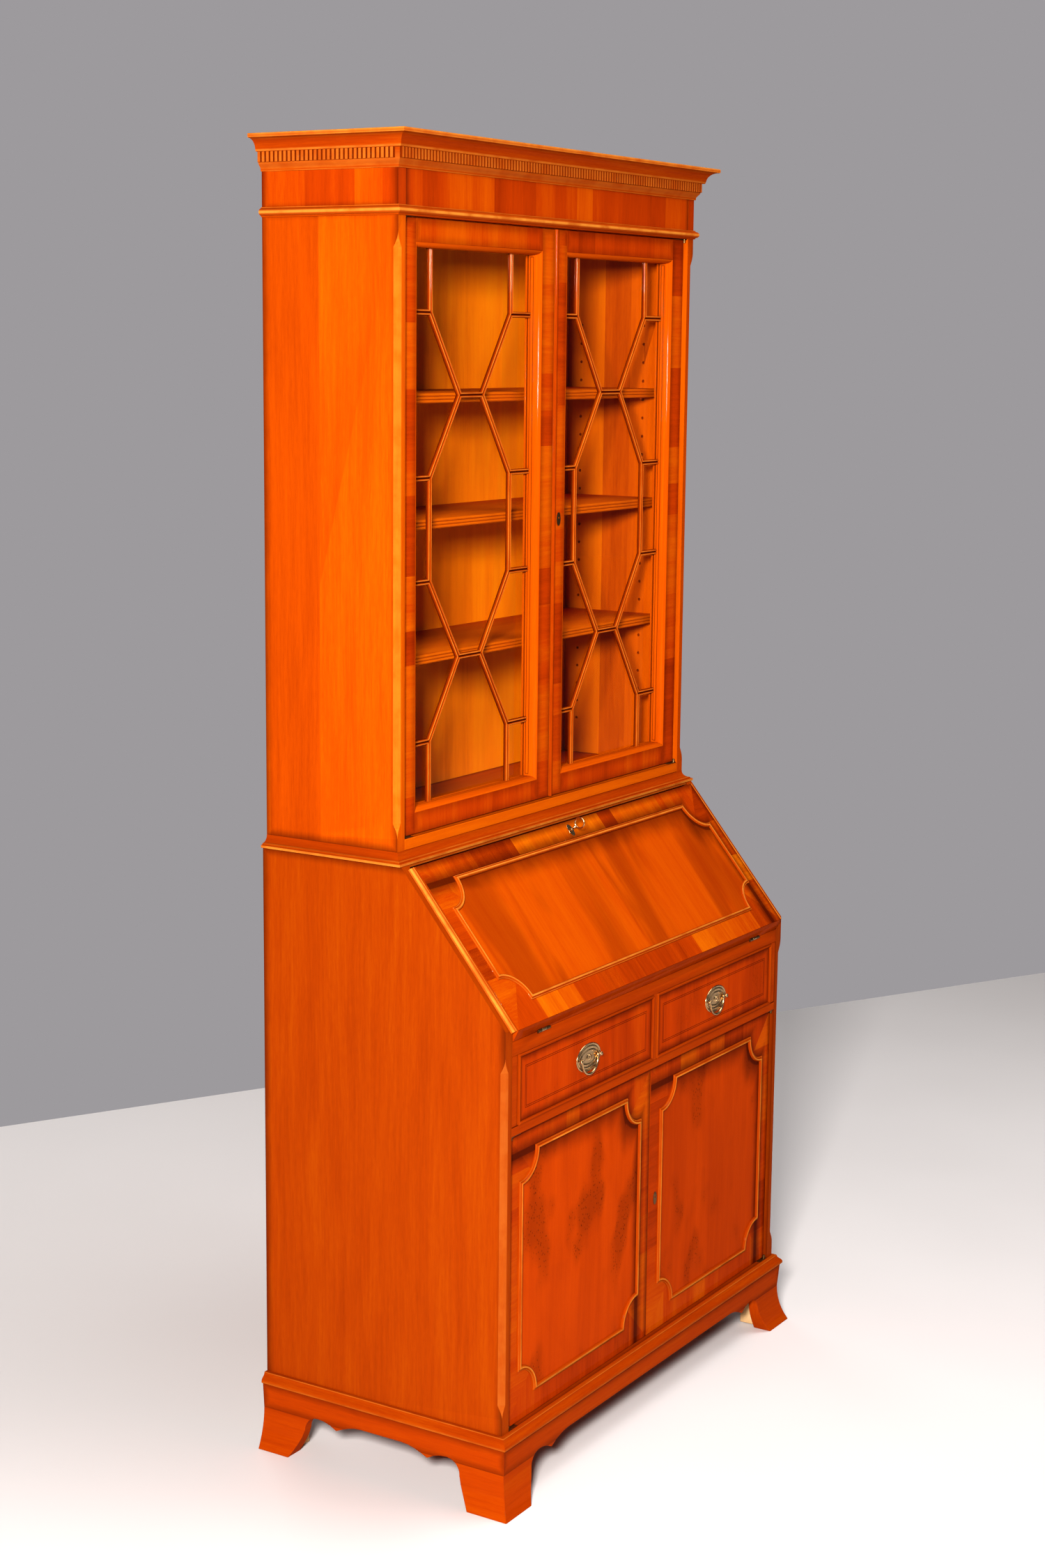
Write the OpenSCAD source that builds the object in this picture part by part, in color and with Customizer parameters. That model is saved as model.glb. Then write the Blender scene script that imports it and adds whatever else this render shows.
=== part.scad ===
// Secretary bookcase: a glazed bookcase stands on a desk with a sloping fall front,
// two drawers, pull-out fall supports, a two-door cupboard and bracket feet.
// Sizes are in millimetres. X runs to the right, Y to the back, Z up.
// Parts are drawn with the lower case's front plane at y = 0; place() then moves the
// whole piece so that the origin is at the centre of the base, on the floor.

/* [Overall] */
// Height from the floor to the top of the cornice
total_h = 2050; // [2045:1:2060]
// Depth of the case from the lower front plane to the back
case_d = 447; // [440:1:455]
// Half the width of the lower case
low_hw = 455; // [453:1:458]
// Half the width of the bookcase
up_hw = 445; // [444:1:446]
// Thickness of the case sides
side_t = 19; // [19:0.5:19.5]
// Distance of the bookcase front behind the lower front
up_y = 201; // [199:1:203]

/* [Base] */
// Height of the bracket plinth
plinth_h = 108; // [104:1:112]
// Height of the cupboard floor
floor_z = 125; // [123:1:127]
// Overhang of the plinth foot at the floor
foot_flare = 25; // [22:1:28]
// Thickness of the plinth behind the case face
plinth_in = 8; // [6:1:12]
// Height of the plinth arch at its highest
arch_z = 71; // [66:1:74]

/* [Cupboard] */
// Underside of the rail above the cupboard doors
rail_z = 590.4; // [588:0.2:593]
// Distance of the cupboard doors behind the front plane
low_door_set = 7; // [6:0.5:8]
// Thickness of the cupboard doors
low_door_t = 20; // [18:0.5:22]
// Height of the cupboard shelf
cupboard_shelf_z = 345; // [300:5:400]
// Gap round each door
door_gap = 1.5; // [1.2:0.1:1.8]

/* [Drawers] */
// Underside of the drawer openings
drawer_z = 603.7; // [603:0.1:605]
// Top of the drawer openings
drawer_top = 714; // [712:0.2:716]
// Half the width of the muntin between the drawers
muntin_hw = 5; // [4:0.5:6]
// Depth of the drawer box behind its front
drawer_d = 390; // [360:5:400]
// Width of the cock bead round a drawer front
cock_w = 4.5; // [3.5:0.5:6]
// Width of each loper
loper_w = 15; // [14:0.5:15]
// Length of each loper
loper_l = 340; // [320:5:380]

/* [Desk] */
// Height of the writing bed
bed_z = 740; // [739.5:0.1:741]
// Height of the fall's hinge line
hinge_z = 737; // [736.8:0.1:737.4]
// Height at which the slope starts on the front edge
slope_z = 755.7; // [755:0.1:757]
// Height of the top of the lower case sides
waist_z = 981; // [980:0.5:982]
// Depth at which the slope ends at the top
slope_y = 187; // [186:0.5:188]
// Thickness of the fall below its lip line
fall_in = 15; // [14:0.5:15]
// How far the fall stands proud of the slope
fall_out = 7; // [6.5:0.5:7]
// Length of the fall up the slope
fall_top = 285; // [280:1:286]
// Depth of the front of the pigeonholes
nest_y = 236; // [230:1:260]
// Thickness of the pigeonhole boards
nest_t = 7; // [5:1:9]

/* [Bookcase] */
// Height of the underside of the bookcase
up_z = 1000; // [999:1:1001]
// Thickness of the bookcase bottom board
up_board = 17; // [16:0.5:18]
// Distance of the glazed doors behind the bookcase front
up_door_set = 8; // [7.5:0.5:9]
// Thickness of the glazed doors
up_door_t = 28; // [27:0.5:29]
// Width of the door stiles
stile_w = 36.5; // [34:0.5:39]
// Width of the sight moulding round the glass
sight_w = 6.5; // [5.5:0.5:7.5]
// Width of the glazing bars
bar_w = 9; // [7:0.5:11]
// Thickness of the bookcase shelves
shelf_t = 15; // [12:0.5:18]
// Height of the underside of the frieze
frieze_z = 1931; // [1930:0.5:1932]

/* [Cornice] */
// Height of the foot of the cornice
cornice_z = 1997; // [1995:1:1999]
// Overhang of the cornice at its top
cornice_o = 33; // [30:1:36]
// Spacing of the dentils
dentil_pitch = 8; // [7:0.5:10]
// Width of each dentil
dentil_w = 5; // [4:0.5:6]

/* [Hidden] */
$fn = 48;
// centre of the depth, from the foot's front edge to the back
mid_y = (case_d - foot_flare) / 2;
low_in = low_hw - side_t;
up_in = up_hw - side_t;
back_y = case_d - 10;
back_t = 8;
chamfer = 8.5;
// hairline left between the pieces glued up in one sub-part
hair = 0.03;
slope_a = atan2(waist_z - slope_z, slope_y);

// cupboard doors
low_door_y = low_door_set;
low_door_z0 = floor_z + door_gap;
low_door_z1 = rail_z - door_gap;
low_door_x0 = 0.75;
low_door_x1 = low_in - door_gap;
low_axis_x = low_door_x1 - 3;
low_axis_y = low_door_y - 3;
low_panel_z = (low_door_z0 + low_door_z1) / 2 + 2;

// glazed doors
up_door_y = up_y + up_door_set;
up_door_z0 = up_z + up_board + door_gap;
up_door_z1 = frieze_z - door_gap;
up_door_x0 = 1.2;
up_door_x1 = up_in - 1;
up_axis_x = up_door_x1 - 3;
up_axis_y = up_door_y - 3;
sight_x0 = up_door_x0 + stile_w - 0.7;
sight_x1 = up_door_x1 - stile_w - 0.5;
sight_z0 = up_door_z0 + 32.5;
sight_z1 = up_door_z1 - 34.5;
glass_y = up_door_y + 22;
lattice_x = (sight_x0 + sight_x1) / 2;
lattice_z = (sight_z0 + sight_z1) / 2;

// drawers and lopers
drawer_x0 = muntin_hw + 0.5;
drawer_x1 = low_in - loper_w - 3;
front_z0 = drawer_z + 0.3;
front_z1 = drawer_top - 0.3;
loper_x1 = low_in - 0.5;
loper_x0 = loper_x1 - loper_w;
handle_x = (drawer_x0 + drawer_x1) / 2;
handle_z = (front_z0 + front_z1) / 2 + 0.5;
post_x = 30;
pivot_h = 4;

// pigeonholes
nest_x1 = low_in - 2;
nest_bay = (2 * nest_x1 - nest_t) / 5;
nest_shelf_z = bed_z + 64;
nest_top = waist_z - 2;

shelf_tops = [1676, 1486, 1280];
pin_pitch = 32;
pin_y = [284.5, 411];

// ---------- helpers ----------

module place() {
    translate([0, -mid_y, 0]) children();
}

module board(x0, x1, y0, y1, z0, z1) {
    translate([x0 + hair, y0 + hair, z0 + hair])
        cube([x1 - x0 - 2 * hair, y1 - y0 - 2 * hair, z1 - z0 - 2 * hair]);
}

module both() {
    children();
    mirror([1, 0, 0]) children();
}

// a (y, z) outline run along X
module along_x(x0, x1) {
    translate([x0, 0, 0]) rotate([90, 0, 90]) linear_extrude(x1 - x0) children();
}

// an (x, z) outline run along Y
module along_y(y0, y1) {
    translate([0, y1, 0]) rotate([90, 0, 0]) linear_extrude(y1 - y0) children();
}

// the fall's own axes: Y up the slope, Z out of the face
module on_slope() {
    translate([0, 0, slope_z]) rotate([slope_a, 0, 0]) children();
}

function up_slope(y, z) = y * cos(slope_a) + (z - slope_z) * sin(slope_a);
function off_slope(y, z) = -y * sin(slope_a) + (z - slope_z) * cos(slope_a);

// a moulding profile, [overhang, height], run along the front with mitred ends
module front_run(prof, hw, y, o_max, o_in) {
    intersection() {
        along_x(-hw - o_max - 5, hw + o_max + 5) polygon([for (p = prof) [y - p[0], p[1]]]);
        linear_extrude(total_h + 10) polygon([
            [-hw - o_max - 1 + 2 * hair, y - o_max - 1], [hw + o_max + 1 - 2 * hair, y - o_max - 1],
            [hw - o_in - 2 * hair, y + o_in], [-hw + o_in + 2 * hair, y + o_in]]);
    }
}

// the same profile run along the right-hand side to the back
module side_run(prof, hw, y, o_max, o_in) {
    intersection() {
        along_y(y - o_max - 5, case_d) polygon([for (p = prof) [hw + p[0], p[1]]]);
        linear_extrude(total_h + 10) polygon([
            [hw + o_max + 1, y - o_max - 1], [hw + o_max + 1, case_d + 1],
            [hw - o_in, case_d + 1], [hw - o_in, y + o_in]]);
    }
}

module three_runs(prof, hw, y, o_max, o_in) {
    front_run(prof, hw, y, o_max, o_in);
    both() side_run(prof, hw, y, o_max, o_in);
}

// a cutter for a chamfer on the right-hand front edge, with lamb's-tongue stops
module chamfer_cut(hw, y, z0, z1, z2, z3) {
    n = 6;
    e = 1;
    low = [for (i = [0:n]) [z0 + (z1 - z0) * i / n, 0.1 + (chamfer - 0.1) * (1 - cos(90 * i / n))]];
    high = [for (i = [n:-1:0]) [z3 + (z2 - z3) * i / n, 0.1 + (chamfer - 0.1) * (1 - cos(90 * i / n))]];
    rings = concat(low, high);
    m = len(rings);
    pts = [for (r = rings) each [
        [hw + e, y - e, r[0]], [hw - r[1] - e, y - e, r[0]], [hw + e, y + r[1] + e, r[0]]]];
    sides = [for (i = [0:m - 2]) for (j = [0:2])
        [3 * i + j, 3 * i + (j + 1) % 3, 3 * i + 3 + (j + 1) % 3, 3 * i + 3 + j]];
    polyhedron(pts, concat([[2, 1, 0]], sides, [[3 * m - 3, 3 * m - 2, 3 * m - 1]]), 4);
}

// a run of a small frame with mitred ends: profile points are [y, distance in from the edge]
module mitred_run(l, w, prof) {
    intersection() {
        along_x(0, l) polygon(prof);
        along_y(-100, 400) polygon([
            [hair, 0], [l - hair, 0], [l - w - 1 - hair, w + 1], [w + 1 + hair, w + 1]]);
    }
}

module mitred_frame(x0, x1, z0, z1, w, prof) {
    translate([x0, 0, z0]) mitred_run(x1 - x0, w, prof);
    translate([x1, 0, z0]) rotate([0, -90, 0]) mitred_run(z1 - z0, w, prof);
    translate([x1, 0, z1]) rotate([0, -180, 0]) mitred_run(x1 - x0, w, prof);
    translate([x0, 0, z1]) rotate([0, -270, 0]) mitred_run(z1 - z0, w, prof);
}

// a rectangle with a round bite out of each corner
module bitten(a, b, cx, cy, r) {
    difference() {
        square([2 * a, 2 * b], center = true);
        for (i = [-1, 1], j = [-1, 1]) translate([i * cx, j * cy]) circle(r);
    }
}

// a closed band of moulding that follows that outline
module panel_band(hw, hh, r, w, t) {
    linear_extrude(t) difference() {
        bitten(hw + w / 2, hh + w / 2, hw, hh, r - w / 2);
        bitten(hw - w / 2, hh - w / 2, hw, hh, r + w / 2);
    }
}

// ---------- base ----------

// outline of the gap between two bracket feet, over a board of length l
function foot_edge() = [for (i = [0:4]) let (z = 46 * i / 4) [82 - 23 * pow(1 - z / 46, 1.3), z]];
function foot_arch() = [for (i = [1:6]) [107 - 25 * cos(15 * i), 46 + (arch_z - 46) * sin(15 * i)]];
function foot_drop() = [for (i = [1:3]) [107 + 12 * i, arch_z - 11 * pow(i / 3, 2)]];
function foot_ogee() = [for (i = [1:4]) [143 + 12 * i, arch_z - 11 + 14 * sin(22.5 * i)]];
function half_gap() = concat([[foot_edge()[0][0], -5]], foot_edge(), foot_arch(), foot_drop(), foot_ogee());

module foot_gap(l) {
    h = half_gap();
    n = len(h);
    polygon(concat(h, [for (i = [n - 1:-1:0]) [l - h[i][0], h[i][1]]]));
}

plinth_prof = concat(
    [[-plinth_in, plinth_h], [-plinth_in, 0]],
    [for (i = [0:6]) let (z = 66 * i / 6) [9 + (foot_flare - 9) * pow(1 - z / 66, 2), z]],
    [[12, plinth_h]]);

module plinth_front() {
    corner = low_hw + 12;
    color("#7a3f1d") place() difference() {
        front_run(plinth_prof, low_hw, 0, foot_flare, plinth_in);
        translate([-corner, 0, 0]) along_y(-60, 60) foot_gap(2 * corner);
    }
}

module plinth_right() {
    color("#b0662b") place() difference() {
        side_run(plinth_prof, low_hw, 0, foot_flare, plinth_in);
        translate([0, -12, 0]) along_x(low_hw - 60, low_hw + 60) foot_gap(case_d + 12);
    }
}

module plinth_side_right() {
    plinth_right();
}

module plinth_side_left() {
    mirror([1, 0, 0]) plinth_right();
}

// glue blocks behind the front feet, rear bracket boards and their blocks
module foot_blocks() {
    x1 = low_hw - plinth_in - 0.2;
    color("#c49a6c") place() both() {
        board(x1 - 32, x1, plinth_in + 0.2, plinth_in + 32, 2, plinth_h);
        board(x1 - 32, x1, case_d - 54, case_d - 22, 2, plinth_h);
        along_y(case_d - 20, case_d) polygon([
            [x1, 0], [x1, plinth_h], [x1 - 110, plinth_h], [x1 - 110, 74], [x1 - 46, 0]]);
    }
}

base_prof = concat(
    [[0, floor_z], [0, plinth_h], [12, plinth_h], [15.3, plinth_h + 1.5], [15.3, plinth_h + 4]],
    [for (i = [1:5]) [15.3 - 3.9 * (1 - cos(36 * i)) , plinth_h + 4 + (floor_z - plinth_h - 5.5) * i / 5]],
    [[7.5, floor_z]]);

module base_moulding() {
    color("#7a3f1d") place() three_runs(base_prof, low_hw, 0, 15.3, 0);
}

// ---------- lower case ----------

module lower_side_plain() {
    difference() {
        along_x(low_in, low_hw) polygon([
            [0, plinth_h], [0, slope_z], [slope_y, waist_z], [case_d, waist_z], [case_d, plinth_h]]);
        chamfer_cut(low_hw, 0, 151, 172, 692, 715);
    }
}

module lower_side_right() {
    color("#b0662b") place() lower_side_plain();
}

module lower_side_left() {
    color("#b0662b") place() mirror([1, 0, 0]) lower_side_plain();
}

module lower_bottom_board() {
    color("#c49a6c") place() board(-low_in, low_in, 0, back_y, plinth_h, floor_z);
}

module lower_back_panel() {
    color("#a9763f") place() board(-low_in, low_in, back_y, back_y + back_t, plinth_h, waist_z);
}

// hollow for a butt hinge knuckle on the fall's hinge line
module knuckle_hollow() {
    translate([331.5, 0, hinge_z]) rotate([0, 90, 0]) cylinder(h = 35, r = 3.2);
}

module front_rails() {
    color("#7a3f1d") place() {
        difference() {
            board(-low_in, low_in, 0, 60, drawer_top, hinge_z);
            both() knuckle_hollow();
        }
        board(-low_in, low_in, 0, 60, rail_z, drawer_z);
        board(-muntin_hw, muntin_hw, 0, 25, drawer_z, drawer_top);
    }
}

// board the drawers and lopers slide on, centre guide and loper guides
module dust_board() {
    color("#c49a6c") place() {
        board(-low_in, low_in, 60, back_y, rail_z + 1, drawer_z);
        board(-muntin_hw, muntin_hw, 25, back_y, drawer_z, drawer_top);
        both() board(drawer_x1 + 0.3, loper_x0 - 0.3, 6, back_y, drawer_z, drawer_top);
    }
}

module writing_bed() {
    y0 = (fall_in + (hinge_z - slope_z) * cos(slope_a)) / sin(slope_a) + 0.65;
    y1 = (fall_in + (bed_z - slope_z) * cos(slope_a)) / sin(slope_a) + 0.65;
    color("#8a4b22") place() difference() {
        along_x(-low_in, low_in) polygon([
            [y0, hinge_z], [60, hinge_z], [60, drawer_top + 4], [back_y, drawer_top + 4],
            [back_y, bed_z], [y1, bed_z]]);
        both() board(331.5, 366.5, 0, 34, bed_z - 1.2, bed_z + 1);
    }
}

module lower_top_board() {
    color("#c49a6c") place() board(-up_hw + 8, up_hw - 8, up_y + 8, case_d, waist_z, up_z);
}

waist_prof = concat(
    [[-8, up_z], [-8, waist_z], [15, waist_z], [15, waist_z + 4.5], [11.5, waist_z + 5], [11.5, waist_z + 6.5]],
    [for (i = [0:5]) [10.5 * (1 - sin(18 * i)), waist_z + 7 + (up_z - waist_z - 7) * (1 - cos(18 * i))]]);

module waist_moulding() {
    color("#8a4b22") place() {
        three_runs(waist_prof, up_hw, up_y, 15, 8);
        board(-low_in + 1.8, low_in - 1.8, up_y - 15, up_y - 10.2, waist_z - 4.4, waist_z - hair);
    }
}

module cupboard_shelf() {
    z = cupboard_shelf_z;
    color("#a9763f") place() {
        board(-low_in + 0.5, low_in - 0.5, 60, back_y - 2, z - 16, z);
        both() board(low_in - 18, low_in, 66, back_y - 6, z - 38, z - 16);
    }
}

module pigeonhole_boards() {
    color("#a9763f") place() {
        for (i = [0:5]) let (x = -nest_x1 + i * nest_bay)
            board(x, x + nest_t, nest_y, back_y, bed_z, nest_top);
        for (i = [0:4]) let (x = -nest_x1 + i * nest_bay)
            board(x + nest_t, x + nest_bay, nest_y + 2, back_y, nest_shelf_z, nest_shelf_z + nest_t);
    }
}

module small_drawer() {
    x0 = nest_x1 - nest_bay + 0.5;
    x1 = nest_x1 - nest_t - 0.5;
    z0 = bed_z + 0.6;
    z1 = nest_shelf_z - 0.6;
    y0 = nest_y + 1;
    y1 = back_y - 12;
    board(x0, x1, y0, y0 + 9, z0, z1);
    board(x0, x0 + 6, y0 + 9, y1, z0, z1 - 5);
    board(x1 - 6, x1, y0 + 9, y1, z0, z1 - 5);
    board(x0 + 6, x1 - 6, y1 - 6, y1, z0, z1 - 5);
    board(x0 + 6, x1 - 6, y0 + 9, y1 - 6, z0 + 1, z0 + 5);
    translate([(x0 + x1) / 2, y0, (z0 + z1) / 2]) rotate([90, 0, 0]) rotate_extrude() polygon([
        [0, 0], [4.5, 0], [3, 2], [2.8, 6], [5, 8], [6.8, 10.5], [6.2, 13.5], [3.5, 15], [0, 15.4]]);
}

module small_drawer_right() {
    color("#8a4b22") place() small_drawer();
}

module small_drawer_left() {
    color("#8a4b22") place() mirror([1, 0, 0]) small_drawer();
}

// ---------- drawers and lopers ----------

module drawer_front() {
    mitred_frame(drawer_x0, drawer_x1, front_z0, front_z1, cock_w,
        [[-2, 0], [20, 0], [20, cock_w], [-2, cock_w]]);
    board(drawer_x0 + cock_w, drawer_x1 - cock_w, 1.5, 20, front_z0 + cock_w, front_z1 - cock_w);
}

module drawer_box() {
    x0 = drawer_x0 + 0.4;
    x1 = drawer_x1 - 0.4;
    y1 = 20 + drawer_d;
    z1 = front_z1 - 12;
    board(x0, x0 + 10, 20, y1, front_z0, z1);
    board(x1 - 10, x1, 20, y1, front_z0, z1);
    board(x0 + 10, x1 - 10, y1 - 9, y1, front_z0, z1 - 2);
    board(x0 + 10, x1 - 10, 20, y1 - 9, front_z0 + 6, front_z0 + 12);
}

// oval plate with a raised rim, two posts and a centre boss
module handle_plate() {
    translate([handle_x, 1.5, handle_z]) rotate([90, 0, 0]) {
        linear_extrude(1.2) polygon([for (i = [0:47]) [36.5 * cos(7.5 * i), 23 * sin(7.5 * i)]]);
        translate([0, 0, 1.2]) cylinder(h = 1.2, r = 6);
        for (s = [-1, 1]) translate([s * post_x, 0, 1.2]) {
            cylinder(h = 5, r = 2.4);
            translate([0, 0, 5]) cylinder(h = 2, r = 3.4);
        }
    }
}

// swinging bail: two eyes between the posts and a half-round loop
module handle_bail() {
    r = 2.1;
    ex = post_x - 6.5;
    translate([handle_x, 1.5 - pivot_h, handle_z]) {
        for (s = [-1, 1]) translate([s * ex - 3, 0, 0]) rotate([0, 90, 0]) cylinder(h = 6, r = 2.4);
        translate([0, 0, -2.45]) rotate([90, 0, 0]) rotate([0, 0, 180])
            rotate_extrude(angle = 180) translate([ex, 0]) circle(r);
    }
}

module drawer_right_front() {
    color("#8a3d1c") place() drawer_front();
}

module drawer_left_front() {
    color("#8a3d1c") place() mirror([1, 0, 0]) drawer_front();
}

module drawer_right_box() {
    color("#c49a6c") place() drawer_box();
}

module drawer_left_box() {
    color("#c49a6c") place() mirror([1, 0, 0]) drawer_box();
}

module drawer_right_plate() {
    color("#c9a24b") place() handle_plate();
}

module drawer_left_plate() {
    color("#c9a24b") place() mirror([1, 0, 0]) handle_plate();
}

module drawer_right_bail() {
    color("#c9a24b") place() handle_bail();
}

module drawer_left_bail() {
    color("#c9a24b") place() mirror([1, 0, 0]) handle_bail();
}

module loper() {
    board(loper_x0, loper_x1, 0.5, loper_l, drawer_z + 0.9, drawer_top - 0.4);
}

module loper_right() {
    color("#8a4b22") place() loper();
}

module loper_left() {
    color("#8a4b22") place() mirror([1, 0, 0]) loper();
}

// ---------- fall front ----------

fall_hw = low_in - 1.5;

module fall_panel() {
    a = [up_slope(0, hinge_z + 0.3), off_slope(0, hinge_z + 0.3)];
    by = (fall_in + (hinge_z + 0.3 - slope_z) * cos(slope_a)) / sin(slope_a);
    b = [up_slope(by, hinge_z + 0.3), -fall_in];
    color("#8a3d1c") place() {
        difference() {
            on_slope() along_x(-fall_hw, fall_hw) polygon([
                a, [-6, fall_out], [fall_top, fall_out], [fall_top, -fall_in], b]);
            both() knuckle_hollow();
            on_slope() both() board(331.5, 366.5, -9, 16, -fall_in - 1, -fall_in + 1.2);
        }
        on_slope() both() board(fall_hw, low_hw - 10, -5, fall_top, 0.4, fall_out);
    }
}

module fall_moulding() {
    color("#7a3f1d") place() on_slope()
        translate([0, 141, fall_out]) panel_band(406, 107.5, 47, 7, 3);
}

// knuckle, pin and leaf on the fall, lock case, striking bolt plate and keyhole plate
module fall_brassware() {
    color("#c9a24b") place() {
        both() {
            translate([343.3, 0, hinge_z]) rotate([0, 90, 0]) cylinder(h = 11.4, r = 2.8);
            on_slope() board(333, 365, -8, 15.5, -fall_in, -fall_in + 1.2);
        }
        on_slope() {
            difference() {
                translate([0, 268, fall_out]) linear_extrude(1) polygon([
                    for (i = [0:23]) [7 * cos(15 * i), 11 * sin(15 * i)]]);
                translate([0, 268, fall_out - 1]) cylinder(h = 4, r = 2.6);
            }
            board(-26, 26, 249, fall_top - 2, -fall_in - 5, -fall_in);
        }
    }
}

module fall_key() {
    color("#b08d3f") place() on_slope() translate([0, 268, 0]) {
        translate([0, 0, fall_out + 0.4]) cylinder(h = 12.2, r = 2);
        translate([0, 0, fall_out + 22]) rotate([0, 90, 0]) rotate_extrude() translate([8.6, 0]) circle(1.5);
    }
}

// ---------- cupboard doors ----------

module cupboard_panel() {
    board(low_door_x0, low_door_x1, low_door_y, low_door_y + low_door_t, low_door_z0, low_door_z1);
}

module cupboard_moulding() {
    translate([(low_door_x0 + low_door_x1) / 2, low_door_y, low_panel_z]) rotate([90, 0, 0])
        panel_band(182, 194, 46, 8, 5);
}

// knife hinge leaves on a door's top and bottom ends; the eye turns round the fixed pin
module door_leaf(x, y, z, dir) {
    translate([x, y, z]) scale([1, 1, dir]) difference() {
        union() {
            translate([-22, 3, 0.9]) cube([24.5, 14, 0.6]);
            translate([0, 0, 0.9]) cylinder(h = 0.6, r = 3.8);
        }
        cylinder(h = 3, r = 2.3);
    }
}

module cupboard_hinges() {
    door_leaf(low_axis_x, low_axis_y, floor_z, 1);
    door_leaf(low_axis_x, low_axis_y, rail_z, -1);
}

// keyhole plate on the face, lock case on the back of the meeting stile
module door_lock(x, y0, y1, z, proud) {
    difference() {
        translate([x, y0, z]) rotate([90, 0, 0]) linear_extrude(proud) polygon([
            for (i = [0:23]) [5.5 * cos(15 * i), 11 * sin(15 * i)]]);
        translate([x, y0 + 1, z + 2]) rotate([90, 0, 0]) cylinder(h = 5, r = 2);
    }
    board(x - 17, x + 17, y1, y1 + 9, z - 24, z + 24);
}

module lower_door_right_panel() {
    color("#8a3d1c") place() cupboard_panel();
}

module lower_door_left_panel() {
    color("#8a3d1c") place() mirror([1, 0, 0]) cupboard_panel();
}

module lower_door_right_moulding() {
    color("#7a3f1d") place() cupboard_moulding();
}

module lower_door_left_moulding() {
    color("#7a3f1d") place() mirror([1, 0, 0]) cupboard_moulding();
}

module lower_door_right_brassware() {
    color("#c9a24b") place() {
        cupboard_hinges();
        door_lock(22, low_door_y, low_door_y + low_door_t, 360, 1);
    }
}

module lower_door_left_hinges() {
    color("#c9a24b") place() mirror([1, 0, 0]) cupboard_hinges();
}

// ---------- bookcase ----------

module bookcase_side() {
    difference() {
        board(up_in, up_hw, up_y, case_d, up_z, total_h - 6);
        chamfer_cut(up_hw, up_y, 1020, 1043, 1886, 1908);
        for (y = pin_y, i = [0:22])
            translate([up_in - 1, y, 1784 - i * pin_pitch]) rotate([0, 90, 0]) cylinder(h = 9, r = 2.5);
    }
}

module upper_side_right() {
    color("#b0662b") place() bookcase_side();
}

module upper_side_left() {
    color("#b0662b") place() mirror([1, 0, 0]) bookcase_side();
}

module upper_bottom_board() {
    color("#8a4b22") place() board(-up_in, up_in, up_y, back_y, up_z, up_z + up_board);
}

module upper_top_board() {
    color("#c49a6c") place() board(-up_in, up_in, up_y + 20, back_y, total_h - 24, total_h - 6);
}

module upper_back_panel() {
    color("#b9823f") place() board(-up_in, up_in, back_y, back_y + back_t, up_z, total_h - 6);
}

module frieze_board() {
    color("#7a3f1d") place() board(-up_in, up_in, up_y, up_y + 20, frieze_z, total_h - 6);
}

bead_prof = concat(
    [[0, frieze_z + 15], [0, frieze_z], [2.5, frieze_z], [2.5, frieze_z + 2.5]],
    [for (i = [0:6]) [2.5 + 5.5 * sin(30 * i), frieze_z + 7.7 - 5.2 * cos(30 * i)]],
    [[2.5, frieze_z + 15]]);

module frieze_bead() {
    color("#8a4b22") place() three_runs(bead_prof, up_hw, up_y, 8, 0);
}

cz = cornice_z;
cornice_prof = concat(
    [[0, cz], [2.4, cz], [2.4, cz + 3]],
    [for (i = [1:4]) [2.4 + 2.8 * (1 - cos(45 * i)), cz + 3 + 2.5 * i]],
    [[8, cz + 28], [14, cz + 28], [14.5, cz + 30]],
    [for (i = [1:6]) [cornice_o - 2 - (cornice_o - 17) * cos(15 * i), cz + 30 + 17 * sin(15 * i)]],
    [[cornice_o, cz + 47], [cornice_o, total_h], [0, total_h]]);

module cornice_moulding() {
    color("#7a3f1d") place() three_runs(cornice_prof, up_hw, up_y, cornice_o, 0);
}

// comb outline of a dentil strip of length l: teeth stand out along +Y of the outline
function comb(l, n) = concat([[0, 0], [0, 1.2]], [for (i = [0:n - 1])
    let (x = (i + 0.5) * l / n)
    each [[x - dentil_w / 2, 1.2], [x - dentil_w / 2, 3.6], [x + dentil_w / 2, 3.6], [x + dentil_w / 2, 1.2]]],
    [[l, 1.2], [l, 0]]);

module dentil_band() {
    z = cornice_z + 13;
    h = 15;
    lf = 2 * (up_hw + 8);
    ls = case_d - up_y;
    color("#8a4b22") place() {
        translate([lf / 2, up_y - 8, z]) rotate([0, 0, 180]) linear_extrude(h)
            polygon(comb(lf, round(lf / dentil_pitch)));
        both() translate([up_hw + 8, case_d, z]) rotate([0, 0, -90]) linear_extrude(h)
            polygon(comb(ls, round(ls / dentil_pitch)));
    }
}

// front edge with three reeds
function reeds(y, z, t) = [for (k = [0:2]) for (i = [0:6])
    [y - t / 6 * sin(30 * i), z + t / 6 * (2 * k + 1 - cos(30 * i))]];

module bookcase_shelves() {
    y0 = 250 + shelf_t / 6;
    color("#8a4b22") place() for (z = shelf_tops)
        along_x(-up_in + 0.5, up_in - 0.5) polygon(concat(
            reeds(y0, z - shelf_t, shelf_t), [[back_y - 1, z], [back_y - 1, z - shelf_t]]));
}

module shelf_pins() {
    color("#c9a24b") place() both() for (z = shelf_tops, y = pin_y)
        translate([up_in - 9, y, z - shelf_t - 2.3]) rotate([0, 90, 0]) cylinder(h = 9, r = 2.2);
}

// small plastic catches under the tops of the four door openings
module door_catches() {
    color("#e8e4da") place() both() {
        board(30, 62, up_door_y + up_door_t + 1, up_door_y + up_door_t + 13, frieze_z + 1, frieze_z + 13);
        board(40, 72, low_door_y + low_door_t + 1, low_door_y + low_door_t + 13, rail_z - 12, rail_z);
    }
}

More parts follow.
